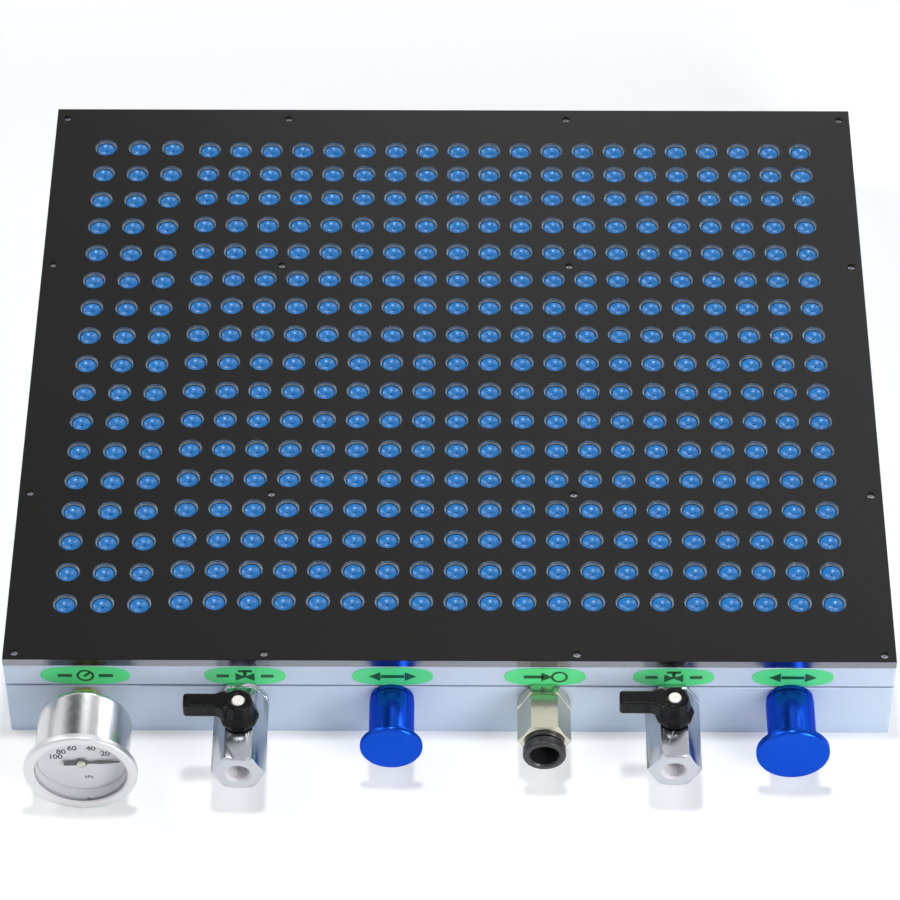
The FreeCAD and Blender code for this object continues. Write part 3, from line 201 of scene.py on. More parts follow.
def line(name, points):
    """A line from point to point, from which a turned or a flat piece starts."""
    piece = added(name, bpy.ops.mesh.primitive_plane_add, size=MM, location=points[0])
    with editing(piece):
        bpy.ops.mesh.merge(type="CENTER")
        for here, there in zip(points, points[1:]):
            bpy.ops.mesh.extrude_region_move(TRANSFORM_OT_translate={"value": there - here})
    return piece


def spun(piece, steps, centre, along, gap, inside=False):
    """A line taken once round an axis, with its poles and seam closed. Its faces point outwards or inside."""
    with editing(piece):
        bpy.ops.mesh.spin(steps=steps, angle=math.tau, center=centre, axis=along)
        bpy.ops.mesh.select_all(action="SELECT")
        bpy.ops.mesh.remove_doubles(threshold=gap)
        bpy.ops.mesh.normals_make_consistent(inside=inside)
    return piece


def turned(name, outline, centre, along, steps):
    """A piece turned on a lathe: half its outline, as (radius, length) in millimetres, goes once round."""
    points = [centre + (ACROSS * radius + along * reach) * MM for radius, reach in outline]
    if outline[0][0] > 0.0 or outline[-1][0] > 0.0:
        points.append(points[0])
    return spun(line(name, points), steps, centre, along, 0.01 * MM)


def traced(name, corners, thickness):
    """A flat piece: its outline is traced corner by corner, filled and drawn out."""
    piece = line(name, corners)
    with editing(piece):
        bpy.ops.mesh.edge_face_add()
        bpy.ops.mesh.extrude_region_move(TRANSFORM_OT_translate={"value": thickness})
        bpy.ops.mesh.select_all(action="SELECT")
        bpy.ops.mesh.normals_make_consistent(inside=False)
    return piece


def modified(piece, kind, **settings):
    """Adds a modifier with its settings and applies it."""
    choose(piece)
    modifier = piece.modifiers.new(kind.title(), kind)
    for name, value in settings.items():
        setattr(modifier, name, value)
    bpy.ops.object.modifier_apply(modifier=modifier.name)
    return piece


def combined(piece, other, operation):
    """Cuts, joins or intersects a piece with another, which is used up."""
    modified(piece, "BOOLEAN", operation=operation, object=other, solver="EXACT",
             material_mode="TRANSFER")
    bpy.data.objects.remove(other)
    return piece


def hexagonal(name, flats, outline, centre, steps):
    """Hexagonal bar stock with flats at top and bottom, turned to an outline."""
    start = min(reach for _, reach in outline) - 1.0
    end = max(reach for _, reach in outline) + 1.0
    bar = added(name, bpy.ops.mesh.primitive_cylinder_add, vertices=6, radius=flats / math.sqrt(3.0) * MM,
                depth=(end - start) * MM, location=centre + OUT * (start + end) / 2 * MM,
                rotation=(math.pi / 2, math.pi / 6, 0.0))
    return combined(bar, turned(name + "_outline", outline, centre, OUT, steps), "INTERSECT")


def add_shank(piece, centre, bore, tip, radius):
    """Joins to a fitting the shank that goes into the base."""
    outline = [(bore, -12.0), (tip, -12.0), (radius, -11.4), (radius, 0.7), (bore, 0.7)]
    combined(piece, turned("shank", outline, centre, OUT, 40), "UNION")


def softened(piece, width, segments=2, least=25.0):
    """Rounds the sharp edges of a piece and smooths the rest."""
    modified(piece, "BEVEL", width=width, segments=segments, limit_method="ANGLE",
             angle_limit=math.radians(least), miter_outer="MITER_ARC", harden_normals=True)
    return smoothed(piece, least)


def smoothed(piece, angle=30.0):
    """Smooths a piece apart from its sharp edges."""
    choose(piece)
    bpy.ops.object.shade_smooth_by_angle(angle=math.radians(angle))
    return piece


def copied(piece, name, move):
    """A copy with its own mesh, moved."""
    choose(piece)
    bpy.ops.object.duplicate(linked=False)
    copy = bpy.context.active_object
    copy.name = name
    copy.data.name = name
    copy.location = move
    bpy.ops.object.transform_apply(location=True, rotation=False, scale=False)
    return copy


def joined(name, pieces):
    """Several pieces as one."""
    choose(*pieces)
    bpy.ops.object.join()
    pieces[0].name = name
    pieces[0].data.name = name
    return pieces[0]


def spread(piece, columns, pitch_across, rows, pitch_deep):
    """Repeats a piece over columns and rows."""
    for count, offset in ((columns, (pitch_across, 0.0, 0.0)), (rows, (0.0, pitch_deep, 0.0))):
        modified(piece, "ARRAY", count=count, use_relative_offset=False, use_constant_offset=True,
                 constant_offset_displace=offset)
    return piece


def socketed(screw, radius, place):
    """Cuts a hexagonal socket into the top of a screw."""
    socket = added("socket", bpy.ops.mesh.primitive_cylinder_add, vertices=6, radius=radius * MM,
                   depth=2.0 * MM, location=place)
    return smoothed(combined(screw, socket, "DIFFERENCE"))


def finished(piece, body, slot, skin, *nodes):
    """Gives a piece its material and its body, and hides the solids that it stands for. The slot is not used.
    """
    if skin:
        piece.data.materials.clear()
        piece.data.materials.append(MATERIALS[skin])
    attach(piece, body)
    if nodes:
        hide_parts(*nodes)
    return piece


def faced(piece, skin, wanted):
    """Gives the faces that pass a test another material."""
    piece.data.materials.append(MATERIALS[skin])
    with editing(piece):
        select_faces(piece, wanted)
        piece.active_material_index = len(piece.data.materials) - 1
        bpy.ops.object.material_slot_assign()


def refinished(skin, *nodes):
    """Gives solids that stay as they are their material."""
    for node in nodes:
        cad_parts[node].material_slots[0].material = MATERIALS[skin]


def levels(node):
    """The heights of a node's foot and top in millimetres."""
    low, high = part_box(node)
    return low.z / MM, high.z / MM


def upright_axis(node):
    """A point on the upright axis of a node."""
    low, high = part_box(node)
    axis = (low + high) / 2
    axis.z = 0.0
    return axis


def centre_line(node):
    """The middle of a node's box, brought to the front face of the plates."""
    low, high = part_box(node)
    middle = (low + high) / 2
    return Vector((middle.x, FRONT, middle.z))


def arc(centre_radius, centre_reach, radius, first, last, steps):
    """Points of a rounded corner in a turned outline, between two angles in degrees."""
    angles = [math.radians(first + (last - first) * step / steps) for step in range(steps + 1)]
    return [(centre_radius + radius * math.cos(a), centre_reach + radius * math.sin(a)) for a in angles]


# Materials

def add_node(material, kind, inputs=None, **settings):
    """Adds a node, sets its own settings and fills its inputs with values, with outputs, or with other nodes,
    which stand for their first output."""
    node = material.node_tree.nodes.new(kind)
    for name, value in settings.items():
        setattr(node, name, value)
    for socket, value in (inputs or {}).items():
        if isinstance(value, bpy.types.Node):
            value = value.outputs[0]
        if isinstance(value, bpy.types.NodeSocket):
            material.node_tree.links.new(value, node.inputs[socket])
        else:
            node.inputs[socket].default_value = value
    return node


def bare(kind, name):
    """A new material or world with no nodes yet."""
    made = kind.new(name)
    made.use_nodes = True
    made.node_tree.nodes.clear()
    return made


def shade(base, factor):
    """A linear colour made lighter or darker."""
    return tuple(min(1.0, value * factor) for value in base[:3]) + (1.0,)


def finish(name, base, metallic, roughness, grain, depth=0.0, mottle=0.06, cloud=40.0, spread_of_gloss=0.06,
           stretch=(1.0, 1.0, 1.0), constants=None):
    """A surface whose tone drifts over a cloud size and whose gloss and relief vary at a grain size.
    Grain, cloud and depth are in millimetres. Stretch draws the grain out along an axis."""
    material = bare(bpy.data.materials, name)
    place = add_node(material, "ShaderNodeTexCoord").outputs["Object"]
    drawn = add_node(material, "ShaderNodeMapping", {"Vector": place, "Scale": stretch})
    fine = add_node(material, "ShaderNodeTexNoise",
                    {"Vector": drawn, "Scale": 1.0 / (grain * MM), "Detail": 2.0})
    broad = add_node(material, "ShaderNodeTexNoise",
                     {"Vector": place, "Scale": 1.0 / (cloud * MM), "Detail": 3.0})
    tone = add_node(material, "ShaderNodeValToRGB", {"Fac": broad})
    for element, position, factor in zip(tone.color_ramp.elements, (0.3, 0.7), (1.0 - mottle, 1.0 + mottle)):
        element.position = position
        element.color = shade(base, factor)
    gloss = add_node(material, "ShaderNodeMapRange",
                     {"Value": fine, "From Min": 0.3, "From Max": 0.7,
                      "To Min": max(0.0, roughness - spread_of_gloss),
                      "To Max": min(1.0, roughness + spread_of_gloss)})
    inputs = {"Base Color": tone, "Metallic": metallic, "Roughness": gloss}
    if depth > 0.0:
        inputs["Normal"] = add_node(material, "ShaderNodeBump",
                                    {"Height": fine, "Strength": 1.0, "Distance": depth * MM})
    inputs.update(constants or {})
    surface = add_node(material, "ShaderNodeBsdfPrincipled", inputs)
    add_node(material, "ShaderNodeOutputMaterial", {"Surface": surface})
    return material


def make_materials(colours):
    """Every finish on the object, by name."""
    return {
        # Aluminium, blasted then anodised black: a satin skin, its fine grain drawn at 0.9 mm so it shows
        "black_anodised": finish("black_anodised_aluminium", colours.cover, 0.0, 0.36, 0.9, depth=0.006,
                                 mottle=0.08, cloud=90.0, constants={"Specular IOR Level": 0.17}),
        # The same plate polished on its edge: a grey mirror with faint drag lines along the cut
        "polished_edge": finish("polished_plate_edge", colours.cover_edge, 1.0, 0.16, 0.8, mottle=0.05,
                                stretch=(0.05, 0.05, 1.0)),
        # Aluminium as the drill left it: bright and slightly torn
        "bare_hole": finish("drilled_bare_aluminium", colours.bare_hole, 1.0, 0.42, 0.8, depth=0.01,
                            stretch=(1.0, 1.0, 3.0)),
        # Aluminium, glass blasted and clear anodised: matt, cool and even, with a grain drawn at 1 mm
        "blasted": finish("blasted_aluminium", colours.plate, 0.35, 0.55, 1.0, depth=0.012, mottle=0.025,
                          cloud=70.0),
        # Nitrile sheet, cut: dark, dull and slightly grainy
        "gasket": finish("nitrile_gasket_sheet", linear("#3d4650"), 0.0, 0.7, 0.8, depth=0.02),
        # Silicone rubber, moulded against polished steel: wet looking and even
        "pad_rubber": finish("moulded_silicone_rubber", colours.pad, 0.0, 0.32, 3.0, mottle=0.05, cloud=25.0,
                             constants={"IOR": 1.43, "Specular IOR Level": 0.9,
                                        "Specular Tint": linear("#d9f0ff"),
                                        "Subsurface Weight": 0.12, "Subsurface Scale": 0.0015}),
        # Steel screws, zinc plated: pale, with a soft mirror
        "zinc_steel": finish("zinc_plated_steel", linear("#c4c7cc"), 1.0, 0.28, 0.8),
        # Stainless steel, buffed on a wheel: a soft mirror with faint wipe marks
        "buffed_steel": finish("buffed_stainless_steel", linear("#d4d5d6"), 1.0, 0.23, 4.0, mottle=0.03,
                               spread_of_gloss=0.03, stretch=(1.0, 1.0, 0.2)),
        # Stainless steel, satin turned: a broad white sheen
        "satin_steel": finish("satin_stainless_steel", linear("#dadbdd"), 1.0, 0.38, 1.2, mottle=0.012,
                              spread_of_gloss=0.015),
        # Aluminium sheet, painted: flat and slightly chalky
        "dial_paint": finish("painted_dial_sheet", colours.dial, 0.0, 0.55, 1.5, mottle=0.02),
        # Enamel on the needle and the dial's numbers: plain black, nearly matt
        "black_enamel": finish("black_enamel", linear("#08090a"), 0.0, 0.60, 2.0,
                               constants={"Specular IOR Level": 0.2}),
        # Brass, bare from the saw or the lathe: warm, half dull
        "brass": finish("turned_brass", linear("#d9bc82"), 1.0, 0.30, 1.0),
        # Brass, nickel plated over its turned flats: a cool mirror a little clouded
        "nickel": finish("nickel_plated_brass", linear("#c2c5cc"), 1.0, 0.22, 1.5, mottle=0.03,
                         spread_of_gloss=0.03),
        # Brass, nickel plated thin: the yellow shows through
        "thin_nickel": finish("thin_nickel_on_brass", linear("#c9c7b4"), 1.0, 0.22, 1.5, mottle=0.03,
                              spread_of_gloss=0.03),
        # Brass, cut by the tap and only washed with nickel: dull and grey
        "tapped_bore": finish("tapped_brass_bore", linear("#dddbe0"), 0.15, 0.60, 0.8),
        # Steel screw, chromed: bright, a little warm
        "chromed_steel": finish("chromed_steel_screw", linear("#fdfaf3"), 0.35, 0.30, 0.8, mottle=0.02),
        # PTFE, turned: white and waxy
        "ptfe": finish("turned_ptfe", linear("#eceef0"), 0.0, 0.45, 1.0),
        # Nylon, moulded in a polished tool: deep black, with a weak but clear reflection
        "black_nylon": finish("moulded_black_nylon", linear("#050506"), 0.0, 0.26, 2.5, depth=0.004,
                              constants={"IOR": 1.53, "Specular IOR Level": 0.16}),
        # Acetal, moulded: black, a little greyer and softer in gloss
        "black_acetal": finish("moulded_black_acetal", linear("#29292b"), 0.0, 0.34, 2.0,
                               constants={"IOR": 1.48}),
        # Aluminium, turned and anodised blue: the metal's bands show through the dye
        "blue_anodised": finish("blue_anodised_aluminium", colours.knob, 0.8, 0.20, 1.2, mottle=0.04,
                                spread_of_gloss=0.03, constants={"Specular IOR Level": 1.0,
                                                                 "Specular Tint": linear("#22a8ff")}),
        # Polyester film, printed green: smooth with a low sheen
        "green_film": finish("printed_green_film", colours.label, 0.0, 0.38, 2.0, mottle=0.03),
        # Screen ink, on the labels and on the dial: flat
        "dark_ink": finish("dark_green_ink", colours.mark, 0.0, 0.42, 2.0),
        "grey_ink": finish("grey_dial_ink", linear("#6a6d76"), 0.0, 0.5, 2.0),
    }


def glass_material():
    """Float glass: clear, with a sharp reflection that grows towards its edges."""
    material = bare(bpy.data.materials, "float_glass")
    place = add_node(material, "ShaderNodeTexCoord").outputs["Object"]
    haze = add_node(material, "ShaderNodeTexNoise", {"Vector": place, "Scale": 90.0})
    gloss = add_node(material, "ShaderNodeMapRange",
                     {"Value": haze, "To Min": 0.0, "To Max": 0.04})
    mirror = add_node(material, "ShaderNodeBsdfGlossy", {"Color": (1.0, 1.0, 1.0, 1.0), "Roughness": gloss})
    clear = add_node(material, "ShaderNodeBsdfTransparent", {"Color": linear("#fcfdfd")})
    facing = add_node(material, "ShaderNodeLayerWeight", {"Blend": 0.5}).outputs["Facing"]
    steep = add_node(material, "ShaderNodeMath", {0: facing, 1: 5.0}, operation="POWER")
    share = add_node(material, "ShaderNodeMapRange", {"Value": steep, "To Min": 0.04})
    mixed = add_node(material, "ShaderNodeMixShader",
                     {0: share, 1: clear, 2: mirror})
    add_node(material, "ShaderNodeOutputMaterial", {"Surface": mixed})
    return material


# How far the floor is lifted towards white where it is seen or mirrored, of a full white
FLOOR_LIFT = 0.22


def floor_material():
    """A seamless white sweep that shows white to the camera and in metal, and still takes a shadow."""
    material = bare(bpy.data.materials, "white_sweep")
    place = add_node(material, "ShaderNodeTexCoord").outputs["Object"]
    drift = add_node(material, "ShaderNodeTexNoise", {"Vector": place, "Scale": 2.0})
    tone = add_node(material, "ShaderNodeValToRGB", {"Fac": drift})
    tone.color_ramp.elements[0].color = linear("#f1f1f1")
    tone.color_ramp.elements[1].color = linear("#f6f6f6")
    matt = add_node(material, "ShaderNodeBsdfDiffuse", {"Color": tone})
    path = add_node(material, "ShaderNodeLightPath")
    seen = add_node(material, "ShaderNodeMath",
                    {0: path.outputs["Is Camera Ray"], 1: path.outputs["Is Glossy Ray"]}, operation="MAXIMUM")
    seen = add_node(material, "ShaderNodeMath",
                    {0: seen, 1: path.outputs["Is Transmission Ray"]}, operation="MAXIMUM")
    lift = add_node(material, "ShaderNodeMath", {0: seen, 1: FLOOR_LIFT}, operation="MULTIPLY")
    glow = add_node(material, "ShaderNodeEmission", {"Strength": lift})
    both = add_node(material, "ShaderNodeAddShader", {0: matt, 1: glow})
    add_node(material, "ShaderNodeOutputMaterial", {"Surface": both})
    return material


MATERIALS = {}


# Stage

class CHUCK_OT_stage(Operator):
    """Lay the floor, hang the lamps and set the camera at the photograph's angle"""
    bl_idname = "chuck.stage"
    bl_label = "Stage"

    # Each lamp's name, place in metres, size in metres, and whether it shows in mirrors only
    LAMPS = (("top", (0.0, -0.06, 2.2), 0.2, False), ("key", (-1.35, 0.35, 1.75), 0.8, False),
             ("side", (0.55, 0.5, 0.55), 0.3, True), ("panel", (0.1, 2.0, 2.2), 0.75, True),
             ("low", (0.16, 2.35, 0.95), 0.7, True), ("fill", (0.95, -1.25, 0.62), 0.6, False))
    # Tones round the studio, at mid height and low down: degrees rightwards from straight behind, and a colour
    HIGH_RING = ((-180, "#dbdde0"), (-60, "#fbfcfd"), (-47, "#f4f5f7"), (-40, "#6a6a6c"), (-32, "#39393b"),
                 (-20, "#3c3c3f"), (-12, "#565659"), (-5, "#b4b5b7"), (2, "#dcdddf"), (14, "#d6d7d9"),
                 (42, "#d8d9db"), (52, "#b0b4b6"), (75, "#a9afb5"), (120, "#b8bcc2"), (180, "#dbdde0"))
    LOW_RING = ((-180, "#dadde2"), (-60, "#fdfdfe"), (40, "#fdfdfe"), (60, "#c6ccce"), (120, "#b8c0c8"),
                (180, "#dadde2"))
    OVERHEAD = "#8c8e91"
    # Strength of the studio's own light as it falls on the object, against 1 where it is seen or mirrored
    SOFT = 0.6

    def execute(self, context):
        studio = context.scene.chuck_studio
        self.lay_floor()
        self.light_world(context.scene)
        for name, place, size, mirrored in self.LAMPS:
            self.hang_lamp(f"{name}_lamp", Vector(place), size, getattr(studio, f"{name}_power"), mirrored)
        self.set_camera(context.scene, studio)
        context.scene.view_settings.view_transform = "Standard"
        return {"FINISHED"}

    def lay_floor(self):
        """A wide round floor whose rim sweeps up."""
        outline = [(0.0, 0.0), (6500.0, 0.0), *arc(6500.0, 1500.0, 1500.0, -80.0, 0.0, 8)]
        points = [Vector((radius, 0.0, rise)) * MM for radius, rise in outline]
        floor = spun(line("floor", points), 64, Vector(), UP, MM, inside=True)
        smoothed(floor)
        floor.data.materials.append(floor_material())

    def light_world(self, scene):
        """A pale studio: bright round the horizon and on the left, with one dark bay behind on the left."""
        world = bare(bpy.data.worlds, "studio")
        place = add_node(world, "ShaderNodeTexCoord").outputs["Generated"]
        parts = add_node(world, "ShaderNodeSeparateXYZ", {"Vector": place}).outputs
        heading = add_node(world, "ShaderNodeMath", {0: parts["X"], 1: parts["Y"]},
                           operation="ARCTAN2")
        share = add_node(world, "ShaderNodeMapRange", {"Value": heading, "From Min": -math.pi,
                                                       "From Max": math.pi})
        high = self.ring(world, share, self.HIGH_RING)
        low = self.ring(world, share, self.LOW_RING)
        rise = add_node(world, "ShaderNodeMapRange", {"Value": parts["Z"], "From Min": 0.42,
                                                      "From Max": 0.62})
        sides = add_node(world, "ShaderNodeMix", {0: rise, 6: low, 7: high}, data_type="RGBA").outputs[2]
        top = add_node(world, "ShaderNodeMapRange", {"Value": parts["Z"], "From Min": 0.84,
                                                     "From Max": 0.97})
        tone = add_node(world, "ShaderNodeMix", {0: top, 6: sides, 7: linear(self.OVERHEAD)},
                        data_type="RGBA").outputs[2]
        path = add_node(world, "ShaderNodeLightPath")
        strength = add_node(world, "ShaderNodeMapRange",
                            {"Value": path.outputs["Is Diffuse Ray"], "To Min": 1.0, "To Max": self.SOFT})
        glow = add_node(world, "ShaderNodeBackground", {"Color": tone, "Strength": strength})
        add_node(world, "ShaderNodeOutputWorld", {"Surface": glow})
        scene.world = world

    def ring(self, world, share, stops):
        """A colour ramp round the horizon."""
        ramp = add_node(world, "ShaderNodeValToRGB", {"Fac": share})
        while len(ramp.color_ramp.elements) < len(stops):
            ramp.color_ramp.elements.new(0.5)
        for element, (angle, code) in zip(ramp.color_ramp.elements, stops):
            element.position = (angle + 180.0) / 360.0
            element.color = linear(code)
        return ramp

    def hang_lamp(self, name, place, size, watts, mirrored):
        """A square soft lamp that faces the middle of the plate."""
        bpy.ops.object.light_add(type="AREA", location=place)
        lamp = bpy.context.active_object
        lamp.name = name
        lamp.data.size = size
        lamp.data.energy = watts
        lamp.visible_camera = False
        lamp.visible_diffuse = not mirrored
        lamp.rotation_euler = (-place).to_track_quat("-Z", "Y").to_euler()

    def set_camera(self, scene, studio):
        """The camera stands in front and looks down on the plate."""
        place = Vector(studio.camera_place)
        bpy.ops.object.camera_add(location=place)
        camera = bpy.context.active_object
        sight = (Vector(studio.camera_aim) - place).to_track_quat("-Z", "Y").to_matrix()
        camera.rotation_euler = (sight @ Matrix.Rotation(studio.camera_roll, 3, "Z")).to_euler()
        camera.data.lens = studio.camera_lens
        camera.data.sensor_width = 36.0
        scene.camera = camera


# Plates, holes and pads

def pad_fields(sizes):
    """The fields of pads: first pad's place, columns and pitch across, rows and pitch deep."""
    low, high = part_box("suction_pads")
    left = low.x + sizes.pad_radius
    right = high.x - sizes.pad_radius
    back = high.y - sizes.pad_radius
    main_back = 0.1875
    front_rows = main_back - 2 * sizes.back_pitch_deep - sizes.back_rows_gap
    return [
        (left, 3, sizes.left_pitch_across, back, 17, -sizes.left_pitch_deep),
        (right, 20, -sizes.main_pitch_across, main_back, 3, -sizes.back_pitch_deep),
        (right, 20, -sizes.main_pitch_across, front_rows, 14, -sizes.main_pitch_deep),
    ]


def over_fields(name, sizes, make):
    """One piece modelled at the origin, repeated over every field and joined."""
    first = make()
    fields = []
    for across, columns, pitch_across, deep, rows, pitch_deep in pad_fields(sizes):
        field = copied(first, name, Vector((across, deep, 0.0)))
        fields.append(spread(field, columns, pitch_across, rows, pitch_deep))
    bpy.data.objects.remove(first)
    return joined(name, fields)


def screw_places():
    """Where the sixteen cover screws stand."""
    low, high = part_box("cover_screws")
    head = 2.2 * MM
    columns = (low.x + head, -0.1037, 0.07145, high.x - head)
    rows = (low.y + head, -0.1003, 0.0861, high.y - head)
    return [Vector((across, deep, 0.0)) for across in columns for deep in rows]


class CHUCK_OT_cover_plate(Operator):
    """Mill the black cover plate with a stepped hole for each pad and each screw"""
    bl_idname = "chuck.cover_plate"
    bl_label = "Cover plate"

    def execute(self, context):
        sizes = context.scene.chuck_sizes
        low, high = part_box("cover_plate")
        plate = block("drilled_cover_plate", low, high)
        for material in ("black_anodised", "polished_edge", "bare_hole"):
            plate.data.materials.append(MATERIALS[material])
        with editing(plate):
            select_edges(plate, lambda a, b: abs(a.z - b.z) > MM)
            bpy.ops.mesh.bevel(offset=sizes.plate_corner, segments=4, affect="EDGES")
            select_faces(plate, lambda centre, normal: abs(normal.z) > 0.9)
            bpy.ops.mesh.bevel(offset=sizes.edge_break, segments=1, affect="EDGES")
            select_faces(plate, lambda centre, normal: abs(normal.z) < 0.5)
            plate.active_material_index = 1
            bpy.ops.object.material_slot_assign()
        combined(plate, self.hole_cutters(sizes, low.z, high.z), "DIFFERENCE")
        smoothed(plate, 25.0)
        finished(plate, "chuck", "black_plate", None, "cover_plate")
        return {"FINISHED"}

    def hole_cutters(self, sizes, bottom, top):
        """Cutters for the pad holes and the screw holes, in one piece."""
        over = 1.0
        base = bottom / MM - over
        face = top / MM
        ledge = levels("suction_pads")[1]
        wide = sizes.ledge_radius / MM
        bore = sizes.pad_radius / MM + 0.05
        edge = sizes.hole_edge / MM
        outline = [(0.0, base), (bore, base), (bore, ledge), (wide, ledge), (wide, face - edge),
                   (wide + edge + over, face + over), (0.0, face + over)]
        pads = over_fields("pad_cutters", sizes,
                           lambda: turned("pad_cutter", outline, Vector(), UP, sizes.pad_steps + 8))
        pads.data.materials.append(MATERIALS["bare_hole"])
        screw = [(0.0, base), (1.65, base), (1.65, 61.0), (2.35, 62.3), (2.35, face - 0.1),
                 (2.45 + over, face + over), (0.0, face + over)]
        first = turned("screw_cutter", screw, Vector(), UP, 20)
        first.data.materials.append(MATERIALS["black_anodised"])
        screws = [copied(first, "screw_cutters", place) for place in screw_places()]
        bpy.data.objects.remove(first)
        return joined("cutters", [pads, *screws])


class CHUCK_OT_pads(Operator):
    """Mould one dished rubber pad and set one in each hole"""
    bl_idname = "chuck.pads"
    bl_label = "Suction pads"

    def execute(self, context):
        sizes = context.scene.chuck_sizes
        pads = over_fields("dished_pads", sizes, lambda: self.one_pad(sizes))
        finished(pads, "chuck", "pad_rubber", "pad_rubber", "suction_pads")
        return {"FINISHED"}

    def one_pad(self, sizes):
        """A short plug with a rounded lip, a smooth dish and a fine bore that narrows."""
        foot, top = levels("suction_pads")
        radius = sizes.pad_radius / MM
        bore = sizes.pad_bore / MM
        inner = radius - sizes.pad_lip / MM
        middle = (inner + bore) / 2
        dish = sizes.pad_dish / MM
        throat = sizes.pad_throat / MM
        outline = [(throat, foot), (radius, foot), (radius, top - 0.9), (radius - 0.35, top - 0.25),
                   (inner, top), (inner - 0.9, top - 0.38 * dish), (middle, top - 0.72 * dish),
                   (middle / 2, top - 0.94 * dish), (bore, top - dish), (throat, top - dish - 1.1)]
        return smoothed(turned("pad", outline, Vector(), UP, sizes.pad_steps), 50.0)


class CHUCK_OT_cover_screws(Operator):
    """Turn one countersunk socket screw and set one at each place of the screw grid"""
    bl_idname = "chuck.cover_screws"
    bl_label = "Cover screws"

    def execute(self, context):
        foot, top = levels("cover_screws")
        outline = [(0.0, foot), (1.3, foot), (1.5, foot + 0.3), (1.5, top - 1.3), (2.2, top - 0.1),
                   (2.1, top), (0.0, top)]
        first = turned("socket_screw", outline, Vector(), UP, 20)
        socketed(first, 1.2, (0.0, 0.0, (top + 0.1) * MM))
        screws = [copied(first, "socket_screws", place) for place in screw_places()]
        bpy.data.objects.remove(first)
        finished(joined("socket_screws", screws), "chuck", "steel", "zinc_steel", "cover_screws")
        return {"FINISHED"}


class CHUCK_OT_plates(Operator):
    """Finish the base, the manifold plate and the seals between them"""
    bl_idname = "chuck.plates"
    bl_label = "Plates and seals"

    def execute(self, context):
        refinished("blasted", "base_chamber", "manifold_plate")
        refinished("gasket", "base_gasket", "cover_seal")
        refinished("zinc_steel", "base_screws")
        refinished("ptfe", "port_washers")
        return {"FINISHED"}


# Gauge

